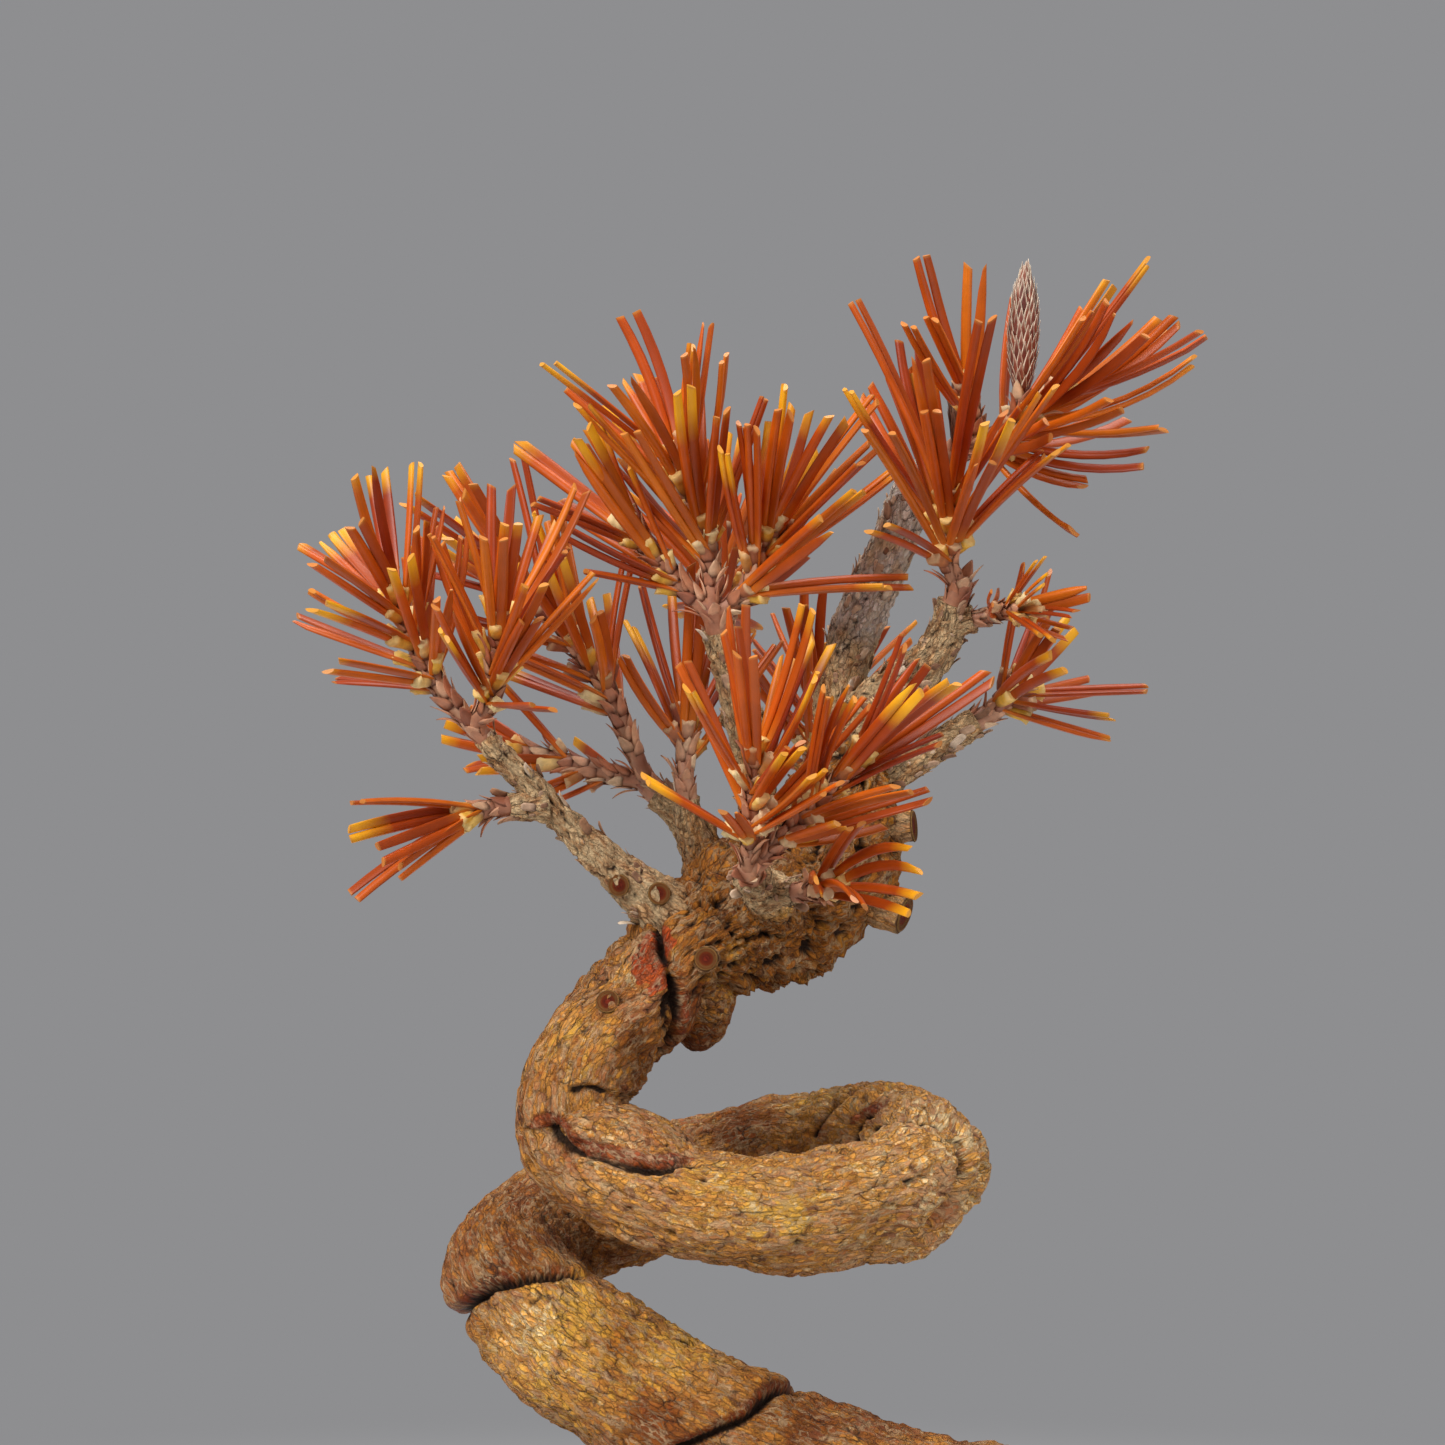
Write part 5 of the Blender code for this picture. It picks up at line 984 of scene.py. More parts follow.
def shoot_lines():
    """For every spray, the rows that its collar and each of its shoots run through, from the branch's end."""
    found = {}
    for name, (branch, _, shoots) in SPRAYS.items():
        _, path = smooth_path(BRANCHES[branch], 4.0)
        seat, way = path[-1, :3], unit(path[-1, :3] - path[-2, :3])
        fork = seat + way * (GAP + COLLAR * FORK_AT)
        lines = [[(*fork, SHOOT_RADIUS), *[(*p, SHOOT_RADIUS) for p in points[:-1]],
                  (*points[-1], SHOOT_RADIUS * SHOOT_TAPER)] for points, *_ in shoots]
        collar = [(*(seat - way * 0.6), path[-1, 3]), (*(seat + way * (GAP + COLLAR)), path[-1, 3] * 0.8)]
        found[name] = (collar, lines)
    return found


def set_tree():
    """One shape set on every point, standing along the point's way and facing out, at the point's size."""
    tree, ins, outs = start_tree("set on points", Shape="Object", Finish="Material")
    shape = add(tree, "GeometryNodeObjectInfo", {"Object": ins["Shape"]}).outputs["Geometry"]
    turn = turned(tree, carried(tree, "way"), carried(tree, "facing"))
    placed = add(tree, "GeometryNodeInstanceOnPoints", {"Points": ins["Geometry"], "Instance": shape,
                                                        "Rotation": turn, "Scale": carried(tree, "size")})
    end_tree(tree, placed.outputs["Instances"], ins["Finish"], outs)
    return tree


def spots_mesh(name, spots):
    """Loose points with their way, facing, size and tone, from rows of (point, way, facing, size, tone)."""
    points, ways, facings, sizes, tones = (np.array(column, float) for column in zip(*spots))
    made = bpy.data.meshes.new(name)
    made.from_pydata(points * MM, [], [])
    for key, values in (("way", ways), ("facing", facings), ("size", sizes), ("tone", tones)):
        carry(made, key, values)
    return made


def scale_spots(rows, draw, first, spacing, lean):
    """Places for scales in a spiral up a shoot, from a share of its length on."""
    _, path = smooth_path(rows, 0.25)
    along, sides, ups = path_frames(path[:, :3])
    run = run_along(path[:, :3])
    spots = []
    for number, at in enumerate(np.arange(run[-1] * first, run[-1], spacing)):
        i = int(np.searchsorted(run, at))
        turn = math.radians(GOLDEN_DEG * number + draw.uniform(-9, 9))
        out = sides[i] * math.cos(turn) + ups[i] * math.sin(turn)
        tilt = math.radians(lean * draw.uniform(0.5, 1.6))
        way = along[i] * math.cos(tilt) + out * math.sin(tilt)
        size = np.array((1.0, 1.0, draw.uniform(0.75, 1.25))) * draw.uniform(0.8, 1.15)
        spots.append((path[i, :3] + out * path[i, 3] * SHOOT_GIRTH, way, out, size, draw.random()))
    return spots


def show_set(name, spots, shape, look, slot, *nodes):
    """A piece made of one shape set on many spots. The shape itself stays in the scene."""
    show(name, grow(name, spots_mesh(name + "_spots", spots), set_on_points, Shape=shape, Finish=look), look,
         slot, *nodes)


def shoot_look(name, shades, roughness):
    """Papery scales: mauve-pink to straw, spotted, darker towards the foot and with a brown tip."""
    look, tree, shader = new_look(name, roughness)
    mixed = mottle(tree, in_place(tree), 900.0, 4.0, 0.65)
    tint = shaded(tree, steps(tree, held(tree, "tone"), shades), 0.6, mixed, 0.6, 1.25)
    tip = steps(tree, held(tree, "share"), [(0.0, 0.75), (0.35, 0.0), (0.84, 0.0), (0.98, 0.55)])
    tint = blend_in(tree, tip, tint, srgb(86, 48, 36))
    return finished(look, shader, tint, mixed, strength=0.4, depth=0.0001)


shoot_shades = [(0.0, srgb(144, 82, 58)), (0.25, srgb(196, 134, 100)), (0.5, srgb(220, 168, 132)),
                (0.75, srgb(170, 104, 70)), (1.0, srgb(236, 204, 164))]
shoot_finish = shoot_look("shoot_scales", shoot_shades, 0.55)
set_on_points = set_tree()
shoots = shoot_lines()
shoot_skin = Skin(tone=1, share=1)
draw = random.Random(31)
scale_places = []
for collar, lines in shoots.values():
    for rows in (collar, *lines):
        _, path = smooth_path(rows, 0.6)
        along, side, up = path_frames(path[:, :3])
        outward = spokes(side, up, full_turn(20))
        ring = path[:, None, :3] + outward * path[:, None, 3:] * (0.85 if rows is collar else SHOOT_GIRTH)
        ring += outward * 0.16 * cloud(ring / 0.8, 9)[..., None]
        shoot_skin.add(ring, tone=0.3 + 0.3 * cloud(ring / 2.0, 12), share=0.2)
        scale_places += scale_spots(rows, draw, 0.0 if rows is collar else 0.1, SCALE_SPACING, 9)
show("shoots", shoot_skin.mesh("shoots"), shoot_finish, "needles", *shoots)
scale = leaf("scale", 2.5, 1.75, 0.16, (0.9, 1.0, 0.95, 0.75, 0.45, 0.1), curl=0.3, hug=0.28)
show_set("shoot_scales", scale_places, scale, shoot_finish, "needles", *shoots)
bpy.data.objects.remove(scale)
ribbon_places = [spot for _, lines in shoots.values() for rows in lines
                 for spot in scale_spots(rows, draw, 0.05, RIBBON_SPACING, 14)]
ribbon = leaf("ribbon", 3.6, 1.3, 0.3, (1.0, 1.0, 0.95, 0.8, 0.6, 0.35), curl=1.0, hug=0.15, rows=9)
ribbon_shades = [(0.0, srgb(176, 96, 60)), (0.5, srgb(206, 132, 92)), (1.0, srgb(226, 178, 138))]
ribbon_finish = shoot_look("ribbons", ribbon_shades, 0.6)
show_set("ribbons", ribbon_places, ribbon, ribbon_finish, "needles", *shoots)
bpy.data.objects.remove(ribbon)

# The needles: stiff, half-round and channelled on their flat side, in pairs that part a little. They were
# clipped square by shears, and have turned orange-red with yellow ends on the older shoots.
NEEDLE_HALF_WIDTH = 0.67
NEEDLE_WIDTH = 1.35  # as the solids have them, for the room between needles
NEEDLE_POINTS = 8
PAIR_PART_DEG = 7.0
PAIR_APART = 0.45
NEEDLE_ROOT = 0.2
TURN_SPREAD_DEG = 14.0
LEAN_SPREAD_DEG = 6.0
LEAST_LEAN_DEG = 5.0
LENGTH_SPREAD = (0.85, 1.1)
FIRST_PAIR_AT = 0.3
LAST_PAIR_AT = 0.985
NEEDLE_TRIES = 80
EXTRAS = {  # more pairs, as a share of the solids' own, set in the room that these leave, and their seed
    "spray_left": (0.55, 51), "spray_middle": (0.55, 25), "spray_inner": (0.55, 16),
    "spray_centre": (0.55, 41), "spray_centre_back": (0.55, 30), "spray_apex": (0.55, 55),
    "spray_upper": (0.55, 49), "spray_right": (0.25, 58), "spray_front": (0.55, 37),
    "spray_back": (0.55, 30),
}
EXTRA_TWIST_DEG = 70.0
EXTRA_LENGTH = 0.93
EXTRA_ROOM = (-0.1, -0.35)  # from other things and from their own spray's needles, which they may touch
FINE_BELOW = 11.0  # needles shorter than this are the thin soft ones of late shoots
SAG = {"spray_apex": -0.2, "spray_upper": 0.1, "spray_fore": 0.22, "spray_low": 0.1}  # a bend up or down
SHEATH_TONES = {"spray_left": (0.35, 0.85), "spray_front": (0.3, 1.0), "spray_centre": (0.2, 1.0)}
SHEATH_STATIONS = np.array((0.0, 0.35, 0.7, 1.0, 1.03))
SHEATH_GIRTHS = np.array((0.8, 0.95, 1.0, 1.12, 0.7))
SHEATH_LOOSE = np.array((0, 0.2, 0.5, 1.0, 0.6))
NEEDLE_GIRTHS = np.array((0.55, 0.8, 0.94, 1.0, 1.0, 0.99, 0.94, 0.86))
POINTED_TIP = np.array([1.0] * 6 + [0.85, 0.4])
POINTED_SHARE = 0.12  # of the needles, which the shears missed
RIPENESS = {  # the higher, the fewer of the needles are yellow far down from their ends
    "spray_centre": 1.8, "spray_middle": 1.6, "spray_left": 2.6, "spray_apex": 4.5,
}
SMALL_BUD = ((25.3, 6.6, 190.5), (25.4, 6.6, 199.0), 1.15)
BUD_FOOT = np.array((33.4, 6.05, 196.8))
BUD_TIP = np.array((33.9, 5.6, 212.8))
BUD_RADIUS = 2.3
BUD_SHOWS_FROM = 4.0  # above its foot, no needle crosses in front of it
BUD_ROOM = [(0.0, 0.12, 0.7), (0.12, 0.8, 1.1), (0.8, 1.0, 0.7)]


class Crowd:
    """Everything that a needle has to stay clear of, as straight runs with a radius and an owner."""

    def __init__(self):
        self.starts, self.ends, self.radii, self.owners = [], [], [], []

    def add(self, start, end, radius, owner):
        self.starts.append(np.array(start, float))
        self.ends.append(np.array(end, float))
        self.radii.append(radius)
        self.owners.append(owner)

    def add_path(self, rows, owner):
        _, path = smooth_path(rows, 3.0)
        for a, b in zip(path, path[1:]):
            self.add(a[:3], b[:3], a[3], owner)

    def room(self, start, end, keep):
        """The least room between the middle line of a needle and the runs whose owner is kept."""
        chosen = [i for i, owner in enumerate(self.owners) if keep(owner)]
        if not chosen:
            return math.inf
        points = start + np.linspace(0.0, 1.0, 14)[:, None] * (end - start)
        a, b = np.array(self.starts)[chosen], np.array(self.ends)[chosen]
        run = b - a
        t = np.einsum("pij,ij->pi", points[:, None] - a, run) / np.maximum((run**2).sum(1), 1e-9)
        near = a + np.clip(t, 0, 1)[..., None] * run
        away = np.linalg.norm(points[:, None] - near, axis=2) - np.array(self.radii)[chosen]
        return float(away.min()) - NEEDLE_WIDTH / 2

    def has_room(self, start, end, owner, least, own_least):
        """Whether a needle is clear of all else, and its outer part of its own spray's needles."""
        others = (owner, owner + "_shoots")
        outer = start + (end - start) * 0.2
        from_others = self.room(start, end, lambda name: name not in others)
        return from_others > least and self.room(outer, end, lambda name: name == owner) > own_least


def point_on(path, share):
    """The point and the direction at a share of the way along rows of points."""
    run = run_along(path[:, :3])
    at = share * run[-1]
    i = min(int(np.searchsorted(run, at, side="right")) - 1, len(run) - 2)
    step = path[i + 1, :3] - path[i, :3]
    way = step / np.linalg.norm(step)
    return path[i, :3] + way * (at - run[i]), way


def across(axis):
    """Two directions square to an axis and to each other."""
    axis = unit(axis)
    other = np.array((0.0, 0.0, 1.0)) if abs(axis[2]) < 0.9 else np.array((1.0, 0.0, 0.0))
    side = unit(np.cross(axis, other))
    return side, np.cross(axis, side)


def needle_pairs(path, shoot, draw, crowd, owner, twist=0.0, least=0.4, own_least=0.0):
    """The needles of one shoot: pairs set round it by the golden angle, each clear of what stands near.
    A pair that finds no room is drawn again a little freer."""
    _, count, length, lean_foot, lean_tip = shoot
    pairs = []
    for k in range(count):
        share = FIRST_PAIR_AT + (1 - FIRST_PAIR_AT) * k / max(1, count - 1)
        start, axis = point_on(path, min(share, LAST_PAIR_AT))
        side, up = across(axis)
        for attempt in range(NEEDLE_TRIES):
            free = attempt / NEEDLE_TRIES
            stray = draw.uniform(-TURN_SPREAD_DEG, TURN_SPREAD_DEG) * (1 + 8.0 * free)
            turn = math.radians(GOLDEN_DEG * k + twist + stray)
            stray = draw.uniform(-LEAN_SPREAD_DEG, LEAN_SPREAD_DEG) * (1 + 2.0 * free)
            lean = math.radians(max(LEAST_LEAN_DEG, lean_foot + (lean_tip - lean_foot) * share + stray))
            out = side * math.cos(turn) + up * math.sin(turn)
            way = axis * math.cos(lean) + out * math.sin(lean)
            apart = unit(np.cross(way, out))
            reach = length * draw.uniform(*LENGTH_SPREAD) * (1 - 0.3 * free)
            pair = []
            for hand in (-1, 1):
                begin = start + out * NEEDLE_ROOT + apart * hand * PAIR_APART
                line = unit(way + apart * hand * math.tan(math.radians(PAIR_PART_DEG) / 2))
                pair.append((begin, begin + line * reach, apart * hand))
            if all(crowd.has_room(begin, end, owner, least, own_least) for begin, end, _ in pair):
                pairs.append((start, way, out, pair))
                break
    for *_, pair in pairs:
        for begin, end, _ in pair:
            crowd.add(begin, end, NEEDLE_WIDTH / 2, owner)
    return pairs


def plan_needles():
    """Every spray's pairs of needles: those of the solids first, then more in the room that is left."""
    crowd = Crowd()
    crowd.add_path(TRUNK, "wood")
    for rows in BRANCHES.values():
        crowd.add_path(rows, "wood")
    crowd.add(*SMALL_BUD, "small_bud")
    for low, high, thick in BUD_ROOM:
        run = BUD_TIP - BUD_FOOT
        crowd.add(BUD_FOOT + run * low, BUD_FOOT + run * high, BUD_RADIUS * thick, "bud")
    paths = {}
    for name, (_, lines) in shoots.items():
        paths[name] = [smooth_path(rows, 5.0)[1] for rows in lines]
        for rows in lines:
            crowd.add_path(rows, name + "_shoots")
    found = {name: [] for name in SPRAYS}
    for name, (_, seed, shapes) in SPRAYS.items():
        draw = random.Random(seed)
        for path, shoot in zip(paths[name], shapes):
            found[name] += needle_pairs(path, shoot, draw, crowd, name)
    for name, (share, seed) in EXTRAS.items():
        draw = random.Random(seed)
        for path, (points, count, length, *leans) in zip(paths[name], SPRAYS[name][2]):
            more = (points, round(count * share), length * EXTRA_LENGTH, *leans)
            found[name] += needle_pairs(path, more, draw, crowd, name, EXTRA_TWIST_DEG, *EXTRA_ROOM)
    return found


def hides_bud(ends):
    """Whether a pair of needles, given by its four ends, crosses in front of the big bud."""
    for begin, end in (ends[:2], ends[2:]):
        points = begin + (end - begin) * np.linspace(0, 1, 20)[:, None]
        beside = np.abs(points[:, 0] - BUD_FOOT[0]) < BUD_RADIUS
        if (beside & (points[:, 2] > BUD_FOOT[2] + BUD_SHOWS_FROM) & (points[:, 1] < BUD_FOOT[1])).any():
            return True
    return False


def drawn_tree():
    """A profile drawn along lines. Its back is round and its front hollow, and its last stretch may fray."""
    tree, ins, outs = start_tree("drawn", HalfWidth="Float", Back="Float", Hollow="Float", Sides="Int",
                                 Fray="Float", Finish="Material")
    lines = add(tree, "GeometryNodeMeshToCurve", {"Mesh": ins["Geometry"]}).outputs["Curve"]
    lines = add(tree, "GeometryNodeSetCurveNormal", {"Curve": lines, "Normal": carried(tree, "facing")},
                mode="FREE").outputs["Curve"]
    ring = add(tree, "GeometryNodeCurvePrimitiveCircle", {"Resolution": ins["Sides"], "Radius": 1.0},
               mode="RADIUS").outputs["Curve"]
    where = add(tree, "GeometryNodeInputPosition").outputs[0]
    x, y, _ = add(tree, "ShaderNodeSeparateXYZ", {0: where}).outputs
    even = times(tree, reckon(tree, "SUBTRACT", ins["Back"], ins["Hollow"]), 0.5)
    bent = times(tree, plus(tree, ins["Back"], ins["Hollow"]), 0.5)
    height = plus(tree, times(tree, y, even), times(tree, reckon(tree, "ABSOLUTE", y), bent))
    shaped = add(tree, "ShaderNodeCombineXYZ", {"X": x, "Y": height}).outputs[0]
    ring = stored(tree, stored(tree, ring, "across", x), "front", y)
    ring = add(tree, "GeometryNodeSetPosition", {"Geometry": ring, "Position": shaped}).outputs["Geometry"]
    girth = times(tree, carried(tree, "girth", "FLOAT"), ins["HalfWidth"])
    tubes = add(tree, "GeometryNodeCurveToMesh",
                {"Curve": lines, "Profile Curve": ring, "Scale": girth, "Fill Caps": True}).outputs["Mesh"]
    noise = add(tree, "ShaderNodeTexNoise", {"Scale": 1700.0, "Detail": 1.0}).outputs["Color"]
    pull = scaled(tree, sum_of(tree, noise, (0.5, 0.5, 0.5), "SUBTRACT"),
                  times(tree, ins["Fray"], carried(tree, "loose", "FLOAT")))
    slant = scaled(tree, carried(tree, "slant"), carried(tree, "across", "FLOAT"))
    frayed = add(tree, "GeometryNodeSetPosition",
                 {"Geometry": tubes, "Offset": sum_of(tree, pull, slant)}).outputs["Geometry"]
    end_tree(tree, frayed, ins["Finish"], outs)
    return tree


class Lines:
    """Lines gathered for one mesh, with the values that the drawing tree and the finish read."""

    def __init__(self):
        self.points, self.edges = [], []
        self.values = {key: [] for key in ("facing", "slant", "girth", "share", "tone", "ripe", "loose")}

    def add(self, points, facing, girth, **values):
        first = sum(map(len, self.points))
        self.points.append(points)
        self.edges += [(first + k, first + k + 1) for k in range(len(points) - 1)]
        along = unit(np.gradient(points, axis=0))
        square = facing - along * (along @ facing)[:, None]
        values = {"facing": unit(square), "girth": girth, "share": np.linspace(0, 1, len(points)), **values}
        for key, found in self.values.items():
            value = np.asarray(values.get(key, 0.0), float)
            wide = key in ("facing", "slant")
            found.append(np.broadcast_to(value, (len(points), 3) if wide else (len(points),)))

    def mesh(self, name):
        made = bpy.data.meshes.new(name)
        made.from_pydata(np.concatenate(self.points) * MM, self.edges, [])
        for key, found in self.values.items():
            carry(made, key, np.concatenate(found))
        return made


def needle_look():
    """Waxy needles: orange-brown to red, streaked along, yellow towards some ends, pale at the cut."""
    look, tree, shader = new_look("needles", 0.38, Specular_IOR_Level=0.32)
    tone, share, beside = (held(tree, name) for name in ("tone", "share", "across"))
    tint = steps(tree, tone, [(0.0, srgb(150, 50, 10)), (0.3, srgb(180, 70, 6)), (0.6, srgb(202, 90, 8)),
                              (0.85, srgb(214, 112, 16)), (1.0, srgb(164, 56, 16))])
    blotch = mottle(tree, in_place(tree), 260.0, 3.0, 0.6)
    tint = shaded(tree, tint, 0.6, blotch, 0.74, 1.2)
    lines = add(tree, "ShaderNodeCombineXYZ", {"X": times(tree, beside, 7.0), "Y": times(tree, share, 1.5),
                                               "Z": times(tree, tone, 50.0)}).outputs[0]
    tint = shaded(tree, tint, 0.5, mottle(tree, lines, 1.0, 2.0, 0.5), 0.8, 1.15)
    # Painted shade: the flat side, which faces the twin needle, is darkened for the shade in its channel.
    front = steps(tree, held(tree, "front"), [(0.0, 0.4), (0.35, 0.0)])
    tint = blend_in(tree, front, tint, srgb(116, 36, 8))
    end = plus(tree, share, times(tree, held(tree, "ripe"), 0.42), times(tree, blotch, 0.12))
    tint = blend_in(tree, masked(tree, end, 1.1, 1.34), tint, srgb(240, 170, 26))
    tint = blend_in(tree, masked(tree, share, 0.32, 0.12, 0.55), tint, srgb(222, 128, 30))
    tint = blend_in(tree, steps(tree, share, [(0.98, 0.0), (0.998, 0.6)]), tint, srgb(206, 138, 66))
    tree.links.new(tint, shader.inputs["Base Color"])
    return look


def sheath_look():
    """Papery sheaths: cream-yellow and dry, pink-brown at the foot, their torn rim pale."""
    look, tree, shader = new_look("sheaths", 0.6)
    tint = steps(tree, held(tree, "tone"),
                 [(0.0, srgb(142, 78, 56)), (0.3, srgb(176, 106, 64)), (0.42, srgb(222, 160, 58)),
                  (0.72, srgb(240, 188, 62)), (0.86, srgb(240, 212, 150)), (1.0, srgb(196, 146, 112))])
    mixed = mottle(tree, in_place(tree), 1100.0, 4.0, 0.65)
    tint = shaded(tree, tint, 0.6, mixed, 0.62, 1.2)
    share = held(tree, "share")
    tint = blend_in(tree, steps(tree, share, [(0.0, 0.85), (0.45, 0.0)]), tint, srgb(128, 74, 52))
    tint = blend_in(tree, steps(tree, share, [(0.75, 0.0), (0.95, 0.4)]), tint, srgb(232, 206, 156))
    return finished(look, shader, tint, mixed, strength=0.5, depth=0.0001)


drawn = drawn_tree()
needle_finish = needle_look()
sheath_finish = sheath_look()
box_low, box_high = (np.array(corner) / MM + way for corner, way in zip(cad_box, (0.9, -0.9)))
sheaths = Lines()
draw = random.Random(41)
for name, pairs in plan_needles().items():
    lines = Lines()
    ripeness = RIPENESS.get(name, 2.2)
    for start, way, out, pair in pairs:
        if hides_bud([point for line in pair for point in line[:2]]):
            continue
        closer = draw.uniform(0.1, 0.8)
        middle = (pair[0][1] + pair[1][1]) / 2
        tone = min(1.0, max(0.0, draw.gauss(0.5, 0.22)))
        ripe = draw.random() ** ripeness
        fine = 0.55 if np.linalg.norm(middle - start) < FINE_BELOW else 1.0
        bow = unit(out + np.array([draw.uniform(-0.8, 0.8) for _ in range(3)]))
        bow = bow * draw.uniform(-0.14, 0.2) / fine + np.array((0.0, 0.0, 1.0)) * SAG.get(name, 0.0)
        slant = draw.uniform(-0.8, 0.8)
        for begin, end, facing in pair:
            reach = np.linalg.norm(end - begin)
            end = end + (middle + facing * 0.42 - end) * closer
            share = np.linspace(0, 1, NEEDLE_POINTS)[:, None]
            points = begin + (end - begin) * share + bow * reach * (share - share**2)
            points = np.clip(points, box_low, box_high)
            cut = np.zeros((NEEDLE_POINTS, 3))
            cut[-1] = way * (slant + draw.uniform(-0.3, 0.3)) * NEEDLE_HALF_WIDTH * MM
            tip = POINTED_TIP if draw.random() < POINTED_SHARE else 1.0
            lines.add(points, facing, NEEDLE_GIRTHS * fine * tip, tone=tone + draw.uniform(-0.08, 0.08),
                      ripe=ripe, slant=cut)
        share = SHEATH_STATIONS[:, None]
        long = draw.uniform(1.8, 3.4)
        sheaths.add(start + out * 0.2 + way * (1.2 + long * share), out, SHEATH_GIRTHS * (0.4 + 0.6 * fine),
                    share=share[:, 0], tone=draw.uniform(*SHEATH_TONES.get(name, (0.0, 1.0))),
                    loose=SHEATH_LOOSE)
    mesh = grow(name, lines.mesh(name + "_lines"), drawn, HalfWidth=NEEDLE_HALF_WIDTH * MM, Back=0.8,
                Hollow=-0.2, Sides=12, Fray=0.0, Finish=needle_finish)
    show(name.replace("spray", "needles"), mesh, needle_finish, "needles", name)
sheath_mesh = grow("sheaths", sheaths.mesh("sheath_lines"), drawn, HalfWidth=0.85 * MM, Back=1.0, Hollow=-1.0,
                   Sides=12, Fray=1.5 * MM, Finish=sheath_finish)
show("sheaths", sheath_mesh, sheath_finish, "needles", *SPRAYS)

# The winter bud at the top of the tree, long and pointed, and a small brown one beside it. Each is wrapped in
# narrow overlapping scales with silver-white fringes that catch on each other.
BUD_PROFILE = [(0.0, 0.46), (0.12, 0.72), (0.25, 0.87), (0.5, 1.0), (0.75, 0.8), (0.9, 0.45), (1.0, 0.12)]
SMALL_BUD_PROFILE = [(0.0, 0.7), (0.35, 0.85), (0.6, 1.0), (0.85, 0.6), (1.0, 0.15)]


def add_bud(skin, foot, tip, radius, profile):
    """The body of a bud under its scales."""
    share = np.linspace(0, 1, 40)[:, None]
    angle = full_turn(24)
    side, up = across(tip - foot)
    reach = radius * 0.82 * np.interp(share, *zip(*profile))
    outward = side * np.cos(angle)[..., None] + up * np.sin(angle)[..., None]
    skin.add(foot + (tip - foot) * share[..., None] + outward * reach[..., None], tone=0.2, share=0.4)


def bud_spots(foot, tip, radius, profile, count, draw, width):
    """Places for the scales of a bud, in one spiral from its foot to near its tip."""
    side, up = across(tip - foot)
    along = unit(tip - foot)
    spots = []
    for k in range(count):
        share = 0.9 * (k + 0.5) / count
        turn = math.radians(GOLDEN_DEG * k + draw.uniform(-5, 5))
        out = side * math.cos(turn) + up * math.sin(turn)
        reach = radius * 0.8 * np.interp(share, *zip(*profile))
        ahead = radius * 0.8 * np.interp(min(1.0, share + 0.15), *zip(*profile))
        slope = (ahead - reach) / (0.15 * np.linalg.norm(tip - foot))
        way = unit(along + out * (slope + draw.uniform(0.02, 0.1)))
        grown = np.interp(share, (0, 0.15, 0.7, 1), (0.8, 1, 1, 0.7))
        size = np.array((width, 1.0, draw.uniform(0.85, 1.1))) * grown
        spots.append((foot + (tip - foot) * share + out * reach, way, out, size, draw.random()))
    return spots


def bud_look(name, middle_shades, fringe):
    """Bud scales: a red-brown or purple middle line, a pale fringe, and a brown point."""
    look, tree, shader = new_look(name, 0.6)
    mixed = mottle(tree, in_place(tree), 1500.0, 3.0, 0.6)
    rim = masked(tree, plus(tree, held(tree, "edge"), times(tree, held(tree, "share"), 0.3)), 0.66, 1.02)
    tint = blend_in(tree, rim, steps(tree, held(tree, "tone"), middle_shades), fringe)
    tint = shaded(tree, tint, 0.6, mixed, 0.6, 1.25)
    return finished(look, shader, tint, mixed, strength=0.4, depth=0.0001)


def show_bud(name, room, profile, count, width, look, slot, node):
    """A bud's body and the scales round it, in the room that it has: foot, tip and radius."""
    skin = Skin(tone=1, share=1, edge=1)
    add_bud(skin, *room, profile)
    show(name + "_core", skin.mesh(name + "_core"), look, slot, node)
    show_set(name + "_scales", bud_spots(*room, profile, count, draw, width), bud_scale, look, slot, node)


bud_shades = [(0.0, srgb(94, 38, 28)), (0.5, srgb(142, 76, 54)), (1.0, srgb(112, 52, 42))]
bud_finish = bud_look("bud_scales", bud_shades, srgb(236, 220, 194))
bud_scale = leaf("bud_scale", 3.0, 1.0, 0.12, (0.7, 1.0, 0.9, 0.65, 0.35, 0.06), curl=0.18, hug=0.12)
draw = random.Random(51)
show_bud("bud", (BUD_FOOT, BUD_TIP, BUD_RADIUS), BUD_PROFILE, 150, 1.0, bud_finish, "bud_scales", "bud")
small_shades = [(0.0, srgb(70, 44, 34)), (0.5, srgb(104, 72, 56)), (1.0, srgb(88, 56, 44))]
small_finish = bud_look("small_bud", small_shades, srgb(150, 112, 84))
small_room = tuple(np.array(value) for value in SMALL_BUD)
show_bud("small_bud", small_room, SMALL_BUD_PROFILE, 46, 0.85, small_finish, "needles", "spray_apex")
bpy.data.objects.remove(bud_scale)

# The pot: a round bowl of unglazed red-brown stoneware, thrown on a wheel with a rolled rim, standing on
# three feet cut from a ring, with one hole in its floor. A square of plastic net keeps the soil in.
POT_HEIGHT = 40.0
POT_RIM_RADIUS = 47.0
POT_RIM_FOOT = 35.0
POT_WALL = 4.0
POT_FLOOR = 9.0
POT_FOOT_HEIGHT = 4.0
POT_FLOOR_RADIUS = 34.0
DRAIN_RADIUS = 7.0
FOOT_IN, FOOT_OUT = 24.5, 31.5
FOOT_HALF_DEG = 22.0
FOOT_BEVEL = 0.7
POT_BEVEL = 1.1


def pot_inner_radius(height):
    """The pot's inside radius at a height, from its floor to its rim, where the wall stands upright."""
    share = (np.minimum(height, POT_RIM_FOOT) - POT_FLOOR) / (POT_HEIGHT - POT_FLOOR)
    return POT_FLOOR_RADIUS - POT_WALL + 11.0 * np.sin(math.pi * share * 0.62)


